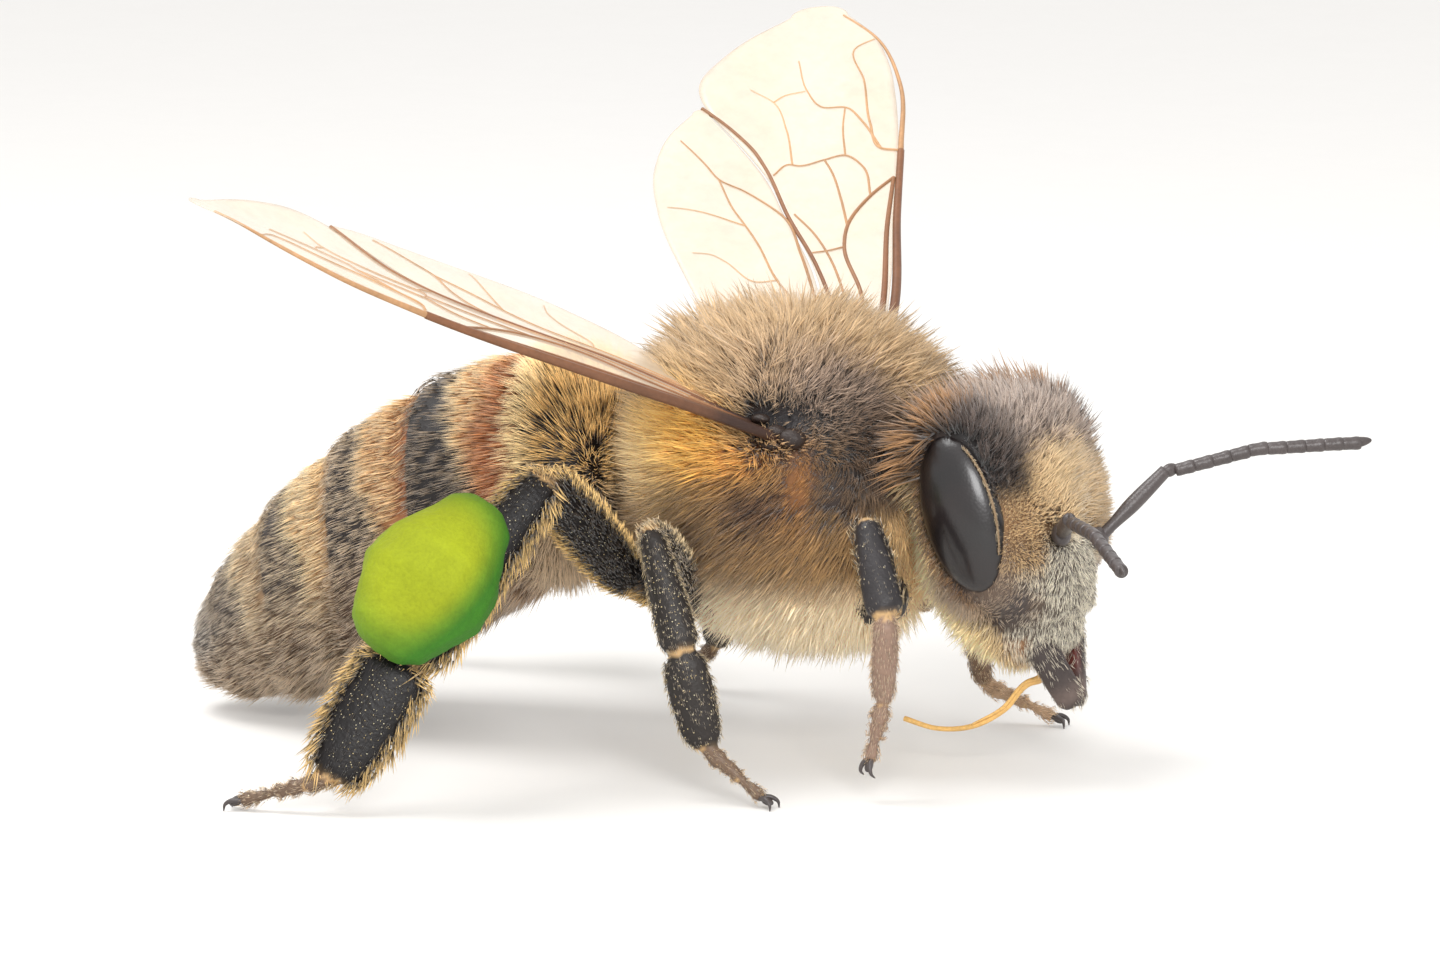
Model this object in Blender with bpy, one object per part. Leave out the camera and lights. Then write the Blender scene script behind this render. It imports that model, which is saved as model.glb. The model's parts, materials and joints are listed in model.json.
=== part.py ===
"""A worker honey bee in life size, standing with its right front foot raised.

Each named part is one closed solid that reaches out to the tips of its coat.
X points to the bee's front, Y to its left and Z up. All sizes are in millimetres
until set_on_floor, which turns them into metres and puts the bee over the origin.
"""

import math

import bmesh
import bpy
from mathutils import Vector
from mathutils.geometry import interpolate_bezier

# ---------------------------------------------------------------- driving sizes
MM = 0.001
GAP = 0.04  # clear space between neighbouring parts
LIMB = 0.25  # least half thickness of a leg, feeler or wing
TOP_Z = Vector((0.0, 0.0, 1.0))

# Thorax: (distance forward of its middle, half width, height above, depth below)
THORAX_MIDDLE = Vector((0.0, 0.0, 4.15))
THORAX_RIBS = (
    (-2.45, 1.00, 0.95, 1.00),
    (-2.05, 1.70, 1.65, 1.55),
    (-1.40, 2.15, 2.15, 2.05),
    (-0.60, 2.40, 2.42, 2.42),
    (0.30, 2.42, 2.50, 2.55),
    (1.10, 2.20, 2.32, 2.48),
    (1.80, 1.75, 1.90, 2.10),
    (2.30, 1.05, 1.25, 1.30),
)
THORAX_ENDS = (-2.65, 2.55)

# Abdomen: control points, as (X, Z), of the curves along its back and its belly
ABDOMEN_BACK = ((-2.30, 4.35), (-3.25, 8.10), (-9.65, 2.95), (-9.46, 0.80))
ABDOMEN_BELLY = ((-2.30, 3.55), (-2.75, 2.40), (-8.90, -1.25), (-9.44, 0.76))
ABDOMEN_HALF_WIDTH = 2.10
ABDOMEN_MARGINS = (0.0, 0.26, 0.445, 0.575, 0.70, 0.823, 1.0)
ABDOMEN_FLANK_LEAD = 0.03  # how far each margin leans forward on the flanks
ABDOMEN_STEP = 0.05  # how far each segment stands out over the next one

# Head: turned to the right, and its long axis leaning forward at the mouth
HEAD_MIDDLE = Vector((3.17, -0.05, 3.55))
HEAD_TURN = math.radians(-14)
HEAD_LEAN = math.radians(10)
# (height above its middle, half width, depth to the face, depth to the nape)
HEAD_RIBS = (
    (1.82, 0.90, 0.60, 0.80),
    (1.45, 1.30, 0.84, 1.05),
    (0.95, 1.56, 0.96, 1.10),
    (0.30, 1.64, 1.04, 1.12),
    (-0.40, 1.54, 1.10, 1.08),
    (-1.00, 1.26, 1.06, 0.90),
    (-1.50, 0.94, 0.94, 0.52),
    (-1.90, 0.68, 0.78, 0.12),
)
HEAD_ENDS = (2.05, -2.05)
EYE_HALVES = (0.43, 0.65, 1.28)  # outward, fore and aft, up
EYE_PLACE = (0.02, 1.43, 0.32)  # forward, outward, up from the head's middle
EYE_LEAN = math.radians(8)

FEELER_ELBOW = {"right": (4.55, -1.68, 3.98), "left": (5.16, 1.00, 4.27)}
FEELER_BASE = {"right": (3.75, -0.62, 3.46), "left": (4.05, 0.40, 3.36)}
FEELER_TIP = {"right": (5.94, -3.98, 3.82), "left": (7.49, 2.00, 4.63)}
JAW_ROOT = {"right": (3.72, -0.62, 1.95), "left": (3.95, 0.28, 1.95)}
JAW_TIP = {"right": (4.03, -0.36, 1.12), "left": (4.13, 0.02, 1.12)}
TONGUE_ROUTE = (
    (3.50, -0.10, 1.26),
    (3.10, -0.10, 0.86),
    (2.66, -0.10, 0.60),
    (2.24, -0.10, 0.50),
    (1.90, -0.10, 0.56),
    (1.56, -0.10, 0.70),
)

# Wings: share of the length, front edge, line where fore and hind wing meet, rear edge
WING_LENGTH = 9.1
WING_RIBS = (
    (0.00, 0.00, 0.60, 1.30),
    (0.10, -0.06, 0.70, 1.95),
    (0.20, -0.10, 0.80, 2.55),
    (0.30, -0.12, 0.98, 2.98),
    (0.45, -0.12, 1.46, 3.44),
    (0.57, -0.10, 1.90, 3.56),
    (0.65, -0.08, 2.40, 3.38),
    (0.70, -0.05, 2.78, 3.08),
    (0.77, 0.02, 3.02, 3.02),
    (0.85, 0.16, 2.68, 2.68),
    (0.92, 0.44, 2.20, 2.20),
    (0.97, 0.84, 1.72, 1.72),
)
HIND_WING_RIBS = slice(1, 8)
WING_ROOT = {"right": (0.50, -1.80, 4.80), "left": (0.50, 1.80, 4.80)}
# Degrees: swept from straight back, raised, and turned up at the rear edge
WING_POSE = {"right": (40.0, 22.7, 7.0), "left": (74.5, 33.0, 0.0)}

# Legs: hip, knee, ankle, heel and toe, then the tip of the claws
TOE_Z = 0.19  # low enough for a flat under each standing foot
CLAW_Z = 0.08
LEG_JOINTS = {
    "right_front": ((1.55, -1.00, 2.51), (1.80, -2.40, 4.03), (2.32, -3.00, 2.65),
                    (2.21, -2.80, 1.40), (2.08, -2.70, 0.80), (2.12, -2.80, 0.45)),
    "right_middle": ((-1.12, -1.10, 2.36), (-1.20, -3.00, 3.81), (-0.50, -3.50, 2.06),
                     (-0.15, -3.50, 0.72), (0.45, -3.60, TOE_Z), (0.92, -3.78, CLAW_Z)),
    "right_hind": ((-2.10, -1.50, 2.70), (-2.60, -3.35, 4.46), (-3.95, -5.35, 2.08),
                   (-4.75, -6.10, 0.55), (-5.70, -6.25, TOE_Z), (-6.25, -6.36, CLAW_Z)),
    "left_front": ((1.55, 1.00, 2.51), (2.25, 2.10, 3.60), (1.72, 2.50, 1.90),
                   (1.87, 2.80, 0.56), (2.62, 2.95, TOE_Z), (3.12, 3.08, CLAW_Z)),
    "left_middle": ((-1.12, 1.10, 2.36), (-1.70, 2.95, 3.60), (-2.30, 3.30, 1.90),
                    (-2.55, 3.45, 0.70), (-2.95, 3.75, TOE_Z), (-3.40, 4.00, CLAW_Z)),
    "left_hind": ((-2.10, 1.50, 2.70), (-3.60, 2.90, 4.40), (-6.10, 3.80, 2.50),
                  (-7.30, 4.05, 1.05), (-8.00, 4.20, TOE_Z), (-8.50, 4.30, CLAW_Z)),
}
RAISED_LEG = "right_front"
# Half width and half thickness at the start, the middle and the end of each piece
LEG_HALVES = {
    "front": {
        "femur": ((0.32, 0.32), (0.38, 0.34), (0.27, 0.25)),
        "tibia": ((0.27, 0.25), (0.37, 0.30), (0.30, 0.25)),
        "basitarsus": ((0.25, 0.25), (0.28, 0.25), (0.25, 0.25)),
        "tarsus": ((0.25, 0.25), (0.25, 0.25), (0.25, 0.25)),
    },
    "middle": {
        "femur": ((0.34, 0.32), (0.40, 0.34), (0.27, 0.25)),
        "tibia": ((0.27, 0.25), (0.38, 0.28), (0.38, 0.26)),
        "basitarsus": ((0.36, 0.25), (0.42, 0.25), (0.30, 0.25)),
        "tarsus": ((0.26, 0.25), (0.26, 0.25), (0.25, 0.25)),
    },
    "hind": {
        "femur": ((0.36, 0.34), (0.45, 0.36), (0.28, 0.26)),
        "tibia": ((0.28, 0.26), (0.44, 0.28), (0.56, 0.26)),
        "basitarsus": ((0.54, 0.26), (0.60, 0.26), (0.42, 0.25)),
        "tarsus": ((0.27, 0.25), (0.26, 0.25), (0.25, 0.25)),
    },
}
LEG_FACE = Vector((0.30, -0.90, 0.25))  # outward from the flat side of a right leg
CLAW_SPREAD = 0.14
POLLEN_LENGTH = 2.66
POLLEN_HALVES = ((0.62, 0.52), (0.90, 0.80), (0.98, 0.82), (0.74, 0.55))
POLLEN_PLACE = 0.67  # share of the way from the knee to the ankle
POLLEN_OUT = 0.50  # how far the load's middle lies outside the leg's
POLLEN_UP = 0.31  # and how far toward the upper edge of the shin

# Sides of each round section
BODY_SIDES = 24
EYE_SIDES = 16
LIMB_SIDES = 10

# Colour, roughness
LOOKS = {
    "tan_coat": ((0.46, 0.33, 0.17), 0.9),
    "brown_coat": ((0.13, 0.09, 0.06), 0.9),
    "banded_coat": ((0.38, 0.24, 0.11), 0.8),
    "leg_coat": ((0.030, 0.024, 0.020), 0.4),
    "dark_shell": ((0.020, 0.016, 0.014), 0.35),
    "eye_shell": ((0.012, 0.010, 0.010), 0.15),
    "tongue_shell": ((0.50, 0.24, 0.05), 0.4),
    "wing_membrane": ((0.72, 0.60, 0.42), 0.35),
    "pollen": ((0.40, 0.56, 0.03), 0.9),
}


# ------------------------------------------------------------------- the tools
def clear_scene():
    for old in list(bpy.data.objects):
        bpy.data.objects.remove(old, do_unlink=True)


def material(name):
    """The named Principled material, made on first use."""
    found = bpy.data.materials.get(name)
    if found:
        return found
    colour, roughness = LOOKS[name]
    made = bpy.data.materials.new(name)
    made.use_nodes = True
    shader = made.node_tree.nodes["Principled BSDF"]
    shader.inputs["Base Color"].default_value = (*colour, 1.0)
    shader.inputs["Roughness"].default_value = roughness
    made.diffuse_color = (*colour, 1.0)
    return made


def solid(name, look, rings, ends):
    """Joins rings of points into one closed body that ends in a point at each side."""
    shape = bmesh.new()
    first = shape.verts.new(ends[0])
    loops = [[shape.verts.new(point) for point in ring] for ring in rings]
    last = shape.verts.new(ends[1])
    count = len(loops[0])
    for k in range(count):
        after = (k + 1) % count
        shape.faces.new((first, loops[0][after], loops[0][k]))
        for low, high in zip(loops, loops[1:]):
            shape.faces.new((low[k], low[after], high[after], high[k]))
        shape.faces.new((last, loops[-1][k], loops[-1][after]))
    bmesh.ops.recalc_face_normals(shape, faces=shape.faces)
    mesh = bpy.data.meshes.new(name)
    shape.to_mesh(mesh)
    shape.free()
    mesh.shade_smooth()
    mesh.materials.append(material(look))
    made = bpy.data.objects.new(name, mesh)
    bpy.context.collection.objects.link(made)
    return made


def oval(middle, across, upward, half_width, height, depth, sides=BODY_SIDES, power=2.0):
    """One section: a superellipse that may stand higher above its middle than below."""
    points = []
    for k in range(sides):
        turn = 2 * math.pi * k / sides
        side = math.copysign(abs(math.cos(turn)) ** (2 / power), math.cos(turn))
        rise = math.copysign(abs(math.sin(turn)) ** (2 / power), math.sin(turn))
        reach = height if rise > 0 else depth
        points.append(middle + across * half_width * side + upward * reach * rise)
    return points


def across_and_up(axis, face):
    """Two unit directions square to the axis: along the broad side, and out of it."""
    across = face.cross(axis).normalized()
    return across, axis.cross(across).normalized()


def limb(name, look, route, halves, face=TOP_Z, sides=LIMB_SIDES):
    """A rod along the route's points, with an oval section at each and round ends."""
    points = [Vector(point) for point in route]
    rings = []
    for k, point in enumerate(points):
        axis = (points[min(k + 1, len(points) - 1)] - points[max(k - 1, 0)]).normalized()
        across, outward = across_and_up(axis, face)
        wide, thick = halves[k]
        rings.append((point, axis, across, outward, wide, thick))
    cap = [(math.sin(math.radians(a)), math.cos(math.radians(a))) for a in (60, 32)]
    sections = []
    for share, shrink in cap:
        sections.append((rings[0], -share, shrink))
    for ring in rings:
        sections.append((ring, 0.0, 1.0))
    for share, shrink in reversed(cap):
        sections.append((rings[-1], share, shrink))
    loops = []
    for (point, axis, across, outward, wide, thick), share, shrink in sections:
        middle = point + axis * share * thick
        loops.append(oval(middle, across, outward, wide * shrink, thick * shrink, thick * shrink, sides))
    ends = (
        points[0] - rings[0][1] * halves[0][1],
        points[-1] + rings[-1][1] * halves[-1][1],
    )
    return solid(name, look, loops, ends)


def cut_away(body, point, outward):
    """Cuts a body flat through the point and closes the cut."""
    shape = bmesh.new()
    shape.from_mesh(body.data)
    geometry = shape.verts[:] + shape.edges[:] + shape.faces[:]
    bmesh.ops.bisect_plane(
        shape, geom=geometry, plane_co=point, plane_no=outward, clear_outer=True, dist=1e-5
    )
    rim = [edge for edge in shape.edges if edge.is_boundary]
    bmesh.ops.edgeloop_fill(shape, edges=rim)
    bmesh.ops.recalc_face_normals(shape, faces=shape.faces)
    shape.to_mesh(body.data)
    shape.free()


def carve(body, neighbour, clearance=GAP):
    """Takes a neighbour's shape, grown by the clearance, out of a body."""
    cutter = bpy.data.objects.new("cutter", neighbour.data.copy())
    bpy.context.collection.objects.link(cutter)
    normals = [vertex.normal.copy() for vertex in cutter.data.vertices]
    for vertex, normal in zip(cutter.data.vertices, normals):
        vertex.co += normal * clearance
    boolean = body.modifiers.new("carve", "BOOLEAN")
    boolean.operation = "DIFFERENCE"
    boolean.object = cutter
    settle(body)
    bpy.data.objects.remove(cutter)


def settle(body):
    """Replaces a body's mesh with the one its modifiers make, without slivers."""
    graph = bpy.context.evaluated_depsgraph_get()
    made = bpy.data.meshes.new_from_object(body.evaluated_get(graph))
    body.modifiers.clear()
    shape = bmesh.new()
    shape.from_mesh(made)
    bmesh.ops.remove_doubles(shape, verts=shape.verts, dist=0.002)
    shape.to_mesh(made)
    shape.free()
    body.data = made


def mirrored(side):
    """The Y direction that leads outward on this side of the bee."""
    return -1.0 if side == "right" else 1.0


# -------------------------------------------------------------------- the parts
def build_thorax():
    forward, left = Vector((1, 0, 0)), Vector((0, 1, 0))
    rings = [
        oval(THORAX_MIDDLE + forward * x, left, TOP_Z, wide, height, depth, power=2.1)
        for x, wide, height, depth in THORAX_RIBS
    ]
    ends = [THORAX_MIDDLE + forward * x for x in THORAX_ENDS]
    return solid("thorax", "tan_coat", rings, ends)


def abdomen_point(curves, share, turn, inset):
    """A point of the abdomen's surface, a share of the way back and turned around it."""
    share -= ABDOMEN_FLANK_LEAD * math.sin(math.pi * share) * math.cos(turn) ** 2
    place = share * (len(curves[0]) - 1)
    low = min(int(place), len(curves[0]) - 2)
    back, belly = [curve[low].lerp(curve[low + 1], place - low) for curve in curves]
    middle = (back + belly) / 2
    swell = math.sin(math.pi * share**0.62) ** 0.62
    wide = ABDOMEN_HALF_WIDTH * swell
    out = Vector((0, 1, 0)) * wide * math.cos(turn) + (back - middle) * math.sin(turn)
    return middle + out * (1 - inset)


def build_abdomen():
    steps = 64
    curves = []
    for control in (ABDOMEN_BACK, ABDOMEN_BELLY):
        knots = [Vector((x, 0.0, z)) for x, z in control]
        curves.append(interpolate_bezier(*knots, steps + 1))
    length = 8.6
    half_gap = GAP / 2 / length
    parts = []
    for k, (start, end) in enumerate(zip(ABDOMEN_MARGINS, ABDOMEN_MARGINS[1:])):
        start += half_gap if k else 0.02
        end -= half_gap if k < 5 else 0.012
        rings = []
        for part in (0.0, 0.3, 0.65, 1.0):
            share = start + (end - start) * part
            inset = ABDOMEN_STEP * (1 - part) if k else 0.0
            turns = [2 * math.pi * n / BODY_SIDES for n in range(BODY_SIDES)]
            rings.append([abdomen_point(curves, share, turn, inset / 2) for turn in turns])
        ends = [sum(ring, Vector()) / len(ring) for ring in (rings[0], rings[-1])]
        parts.append(solid(f"abdomen_segment_{k + 1}", "banded_coat", rings, ends))
    return parts


def head_axes():
    """The head's own forward, left and up directions."""
    turned = Vector((math.cos(HEAD_TURN), math.sin(HEAD_TURN), 0.0))
    left = TOP_Z.cross(turned)
    upward = (TOP_Z * math.cos(HEAD_LEAN) - turned * math.sin(HEAD_LEAN)).normalized()
    return left.cross(upward), left, upward


def build_head():
    forward, left, upward = head_axes()
    rings = []
    for height, wide, face, nape in HEAD_RIBS:
        middle = HEAD_MIDDLE + upward * height
        ring = oval(middle, -left, forward, wide, face, nape, power=2.3)
        rings.append(ring)
    ends = [HEAD_MIDDLE + upward * height for height in HEAD_ENDS]
    return solid("head", "brown_coat", rings, ends)


def build_eye(side):
    """An upright oval dome on the side of the head, its top leaning back."""
    forward, left, upward = head_axes()
    outward = left * mirrored(side)
    place = HEAD_MIDDLE + forward * EYE_PLACE[0] + outward * EYE_PLACE[1] + upward * EYE_PLACE[2]
    tall = (upward * math.cos(EYE_LEAN) - forward * math.sin(EYE_LEAN)).normalized()
    deep = tall.cross(outward).normalized()
    out_half, deep_half, tall_half = EYE_HALVES
    rings = []
    for degrees in (-64, -42, -21, 0, 21, 42, 64):
        rise = math.sin(math.radians(degrees))
        shrink = math.cos(math.radians(degrees))
        middle = place + tall * tall_half * rise
        out = out_half * shrink
        rings.append(oval(middle, deep, outward, deep_half * shrink, out, out, EYE_SIDES))
    ends = (place - tall * tall_half, place + tall * tall_half)
    return solid(f"eye_{side}", "eye_shell", rings, ends)


def build_feeler(side):
    base, elbow, tip = FEELER_BASE[side], Vector(FEELER_ELBOW[side]), Vector(FEELER_TIP[side])
    scape = limb(f"feeler_scape_{side}", "dark_shell", (base, elbow), [(LIMB, LIMB)] * 2)
    bow = (elbow + tip) / 2 + TOP_Z * 0.10
    whip = limb(f"feeler_whip_{side}", "dark_shell", (elbow, bow, tip), [(LIMB, LIMB)] * 3)
    part_at_joint(scape, whip, Vector(base), elbow, bow)
    return scape, whip


def part_at_joint(before, after, start, joint, end):
    """Parts two rods, which both run past their joint, at the plane that halves its bend."""
    halving = ((joint - start).normalized() + (end - joint).normalized()).normalized()
    cut_away(before, joint - halving * GAP / 2, halving)
    cut_away(after, joint + halving * GAP / 2, -halving)


def build_jaw(side):
    forward = head_axes()[0]
    halves = [(0.30, 0.26), (0.26, 0.22)]
    route = (JAW_ROOT[side], JAW_TIP[side])
    return limb(f"jaw_{side}", "dark_shell", route, halves, forward)


def build_tongue():
    halves = [(0.22, 0.22)] * len(TONGUE_ROUTE)
    return limb("tongue", "tongue_shell", TONGUE_ROUTE, halves, sides=8)


def wing_axes(side):
    """The wing's directions: along its front edge, and back across it."""
    sweep, rise, twist = [math.radians(angle) for angle in WING_POSE[side]]
    outward = mirrored(side)
    along = Vector((-math.cos(sweep), outward * math.sin(sweep), math.tan(rise))).normalized()
    level = TOP_Z.cross(along).normalized() * outward
    raised = along.cross(level) * outward
    if raised.z < 0:
        raised = -raised
    return along, level * math.cos(twist) + raised * math.sin(twist)


def build_wing(name, side, ribs, front, rear, overhang):
    """A flat plate between two edges of the rib table, with a rounded rim."""
    along, across = wing_axes(side)
    upward = along.cross(across).normalized()
    root = Vector(WING_ROOT[side])
    rings = []
    for rib in ribs:
        start, end = rib[front], rib[rear]
        middle = root + along * rib[0] * WING_LENGTH + across * (start + end) / 2
        half = (end - start) / 2
        rings.append(oval(middle, across, upward, half, LIMB, LIMB, 8, power=4.0))
    ends = []
    for rib, shift in ((ribs[0], -0.05), (ribs[-1], overhang)):
        centre = across * (rib[front] + rib[rear]) / 2
        ends.append(root + along * (rib[0] * WING_LENGTH + shift) + centre)
    return solid(f"{name}_{side}", "wing_membrane", rings, ends)


def build_wings(side):
    fore = build_wing("fore_wing", side, WING_RIBS, 1, 2, 0.26)
    hind_ribs = [(s, f, meet + GAP, rear) for s, f, meet, rear in WING_RIBS[HIND_WING_RIBS]]
    hind = build_wing("hind_wing", side, hind_ribs, 2, 3, 0.12)
    return fore, hind


def build_leg(leg):
    side, pair = leg.split("_")
    joints = [Vector(joint) for joint in LEG_JOINTS[leg]]
    face = LEG_FACE.copy()
    face.y *= -mirrored(side)
    pieces = []
    for k, (piece, halves) in enumerate(LEG_HALVES[pair].items()):
        start, end = joints[k], joints[k + 1]
        route = (start, start.lerp(end, 0.5), end)
        pieces.append(limb(f"{leg}_{piece}", "leg_coat", route, halves, face))
    for k in range(3):
        part_at_joint(pieces[k], pieces[k + 1], joints[k], joints[k + 1], joints[k + 2])
    pieces.append(build_claws(leg, joints[4], joints[5], face))
    part_at_joint(pieces[3], pieces[4], joints[3], joints[4], joints[5])
    if leg != RAISED_LEG:
        for piece in pieces[2:]:
            cut_away(piece, Vector(), -TOP_Z)
    return pieces


def build_claws(leg, toe, tip, face):
    """Two short prongs that part from the toe."""
    axis = (tip - toe).normalized()
    across = across_and_up(axis, TOP_Z if leg != RAISED_LEG else face)[0]
    prongs = []
    for sign in (-1, 1):
        aside = across * CLAW_SPREAD * sign
        halves = [(0.22, 0.24), (0.15, 0.15), (0.09, 0.09)]
        route = (toe + aside * 0.2, toe.lerp(tip, 0.6) + aside, tip + aside)
        prongs.append(limb(f"{leg}_claws", "dark_shell", route, halves, face, sides=8))
    boolean = prongs[0].modifiers.new("join", "BOOLEAN")
    boolean.operation = "UNION"
    boolean.object = prongs[1]
    settle(prongs[0])
    bpy.data.objects.remove(prongs[1])
    prongs[0].name = f"{leg}_claws"
    return prongs[0]


def build_pollen(side, tibia):
    """The load that the hind leg carries, packed on the outside of its tibia."""
    knee, ankle = [Vector(point) for point in LEG_JOINTS[f"{side}_hind"][1:3]]
    face = LEG_FACE.copy()
    face.y *= -mirrored(side)
    axis = (ankle - knee).normalized()
    across, outward = across_and_up(axis, face)
    if across.z < 0:
        across = -across
    middle = knee.lerp(ankle, POLLEN_PLACE) + outward * POLLEN_OUT + across * POLLEN_UP
    run = POLLEN_LENGTH - 2 * POLLEN_HALVES[0][1]
    route = [middle + axis * run * (k / 3 - 0.5) for k in range(4)]
    load = limb(f"pollen_load_{side}", "pollen", route, POLLEN_HALVES, face, sides=16)
    carve(load, tibia)
    return load


# --------------------------------------------------------------------- assembly
def set_on_floor():
    """Turns millimetres into metres and centres the bee over the origin."""
    parts = list(bpy.context.scene.objects)
    corners = [vertex.co for part in parts for vertex in part.data.vertices]
    low = [min(point[k] for point in corners) for k in range(3)]
    high = [max(point[k] for point in corners) for k in range(3)]
    shift = Vector((-(low[0] + high[0]) / 2, -(low[1] + high[1]) / 2, -low[2]))
    for part in parts:
        for vertex in part.data.vertices:
            vertex.co = (vertex.co + shift) * MM


def main():
    clear_scene()
    thorax = build_thorax()
    abdomen = build_abdomen()
    carve(abdomen[0], thorax)
    head = build_head()
    eyes = [build_eye(side) for side in ("right", "left")]
    for eye in eyes:
        carve(head, eye)
    carve(head, thorax)
    tongue = build_tongue()
    for side in ("right", "left"):
        jaw = build_jaw(side)
        carve(head, jaw)
        carve(tongue, jaw)
        scape = build_feeler(side)[0]
        carve(scape, head)
        for wing in build_wings(side):
            carve(wing, thorax)
            carve(wing, abdomen[0])
    carve(tongue, head)
    for leg in LEG_JOINTS:
        pieces = build_leg(leg)
        carve(pieces[0], thorax)
        carve(pieces[0], abdomen[0])
        carve(pieces[0], abdomen[1])
        if leg.endswith("hind"):
            build_pollen(leg.split("_")[0], pieces[1])
    set_on_floor()


main()
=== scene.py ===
# %% [markdown]
# # A worker honey bee, made as a life-size still model
# The bee stands on a pale floor, as a museum shows it: five feet down, one front leg
# raised, the wings half spread, a load of pollen on each hind leg. Its hard body
# parts are already there as plain solids, in one file that holds their places. This
# lesson puts the animal's real surface around them: one skin, a coat of fine hairs,
# glossy eyes, glassy wings. The first cell opens the solids and clears the rest.

# %% Open the solids
import json
import math
from types import SimpleNamespace

import bpy
import numpy as np
from mathutils import Matrix, Vector, kdtree

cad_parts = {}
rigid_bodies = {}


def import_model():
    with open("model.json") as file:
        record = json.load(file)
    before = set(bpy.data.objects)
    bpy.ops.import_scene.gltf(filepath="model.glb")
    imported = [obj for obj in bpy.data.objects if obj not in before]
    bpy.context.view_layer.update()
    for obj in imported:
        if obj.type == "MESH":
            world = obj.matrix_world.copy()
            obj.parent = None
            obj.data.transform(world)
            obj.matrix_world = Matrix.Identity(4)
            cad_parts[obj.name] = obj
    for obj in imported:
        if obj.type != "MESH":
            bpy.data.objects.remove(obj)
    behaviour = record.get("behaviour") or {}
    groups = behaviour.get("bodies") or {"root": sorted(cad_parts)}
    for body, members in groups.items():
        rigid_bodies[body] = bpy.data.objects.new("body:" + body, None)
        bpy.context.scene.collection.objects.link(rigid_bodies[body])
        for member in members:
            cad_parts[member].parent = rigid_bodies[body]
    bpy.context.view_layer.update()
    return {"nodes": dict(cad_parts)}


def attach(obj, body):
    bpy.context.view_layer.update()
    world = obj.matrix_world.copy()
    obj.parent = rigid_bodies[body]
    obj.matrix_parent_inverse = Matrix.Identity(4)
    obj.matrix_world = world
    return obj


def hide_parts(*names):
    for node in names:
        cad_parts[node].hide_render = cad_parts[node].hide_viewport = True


for startup in list(bpy.data.objects):
    bpy.data.objects.remove(startup)
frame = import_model()
nodes = frame["nodes"]
scene = bpy.context.scene
TO_METRES = 0.001


# %% [markdown]
# The whole bee is only 17 mm long, so everything is worked out in millimetres, and
# turned into metres at the end of each piece. Places are read from the solids: the
# middle of the chest is the point that the rest is measured from. The camera comes
# first, because it shows the bee from its right side, from a little in front and
# above. A long lens keeps the near legs from growing large.

# %% The camera
def corners_of(made):
    return np.array([vertex.co[:] for vertex in made.data.vertices])


def points_of(name):
    """The corners of a solid, in millimetres."""
    return corners_of(nodes[name]) / TO_METRES


def middle(points):
    return (points.min(0) + points.max(0)) / 2


def unit(vectors):
    """The same directions, one unit long."""
    vectors = np.asarray(vectors, float)
    return vectors / np.maximum(np.linalg.norm(vectors, axis=-1, keepdims=True), 1e-9)


UP = np.array((0.0, 0.0, 1.0))
AHEAD = np.array((1.0, 0.0, 0.0))
LEFT = np.array((0.0, 1.0, 0.0))
CAMERA_DISTANCE = 100.0
LOOKED_AT = (-1.014, -0.419, -0.144)  # from the chest
chest = middle(points_of("thorax"))

turn, lift = math.radians(20), math.radians(10)
toward_camera = np.array((math.sin(turn) * math.cos(lift), -math.cos(turn) * math.cos(lift),
                          math.sin(lift)))
camera = bpy.data.objects.new("camera", bpy.data.cameras.new("camera"))
camera.location = Vector(chest + LOOKED_AT + toward_camera * CAMERA_DISTANCE) * TO_METRES
camera.rotation_euler = Vector(toward_camera).to_track_quat("Z", "Y").to_euler()
camera.data.sensor_width = 36
camera.data.lens = 175
camera.data.clip_start = 0.005
scene.collection.objects.link(camera)
scene.camera = camera
print("chest at", chest.round(2), "mm")


# %% [markdown]
# Skin and coat need the same helpers. A value that changes over the body, such as the
# share of dark in a stripe, is easiest to shape with a soft step between two limits.
# A curve through a few known widths gives all the widths between them. Colours are
# named as on a screen and turned into linear light, and a marking is painted as
# layers over a base, each with the share that it covers.

# %% Small helpers for shapes and colours
def step(low, high, value):
    """A soft step from 0 at the low limit to 1 at the high one."""
    share = np.clip((value - low) / (high - low), 0, 1)
    return share * share * (3 - 2 * share)


def hump(centre, width, value):
    """A soft hump, 1 at its centre and almost 0 at twice its width."""
    return np.exp(-(((value - centre) / width) ** 2))


def through(keys, values, at):
    """Points of a smooth curve through known values."""
    keys, values, at = (np.asarray(each, float) for each in (keys, values, at))
    slope = np.gradient(values, keys, axis=0)
    low = np.clip(np.searchsorted(keys, at) - 1, 0, len(keys) - 2)
    high = low + 1
    shape = (-1,) + (1,) * (values.ndim - 1)
    span = (keys[high] - keys[low]).reshape(shape)
    t = (at - keys[low]).reshape(shape) / span
    start = (2 * t**3 - 3 * t**2 + 1) * values[low] + (t**3 - 2 * t**2 + t) * span * slope[low]
    return start + (3 * t**2 - 2 * t**3) * values[high] + (t**3 - t**2) * span * slope[high]


def along_route(route):
    """How far along a route of points each one lies."""
    return np.append(0, np.cumsum(np.linalg.norm(np.diff(route, axis=0), axis=1)))


def tone(red, green, blue):
    """Linear light from a colour's screen values, 0 to 255."""
    screen = np.array((red, green, blue)) / 255
    return np.where(screen <= 0.04045, screen / 12.92, ((screen + 0.055) / 1.055) ** 2.4)


def mix(first, second, share):
    """A blend of two colours or directions, point by point."""
    share = np.asarray(share, float)[..., None]
    return first * (1 - share) + second * share


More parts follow.
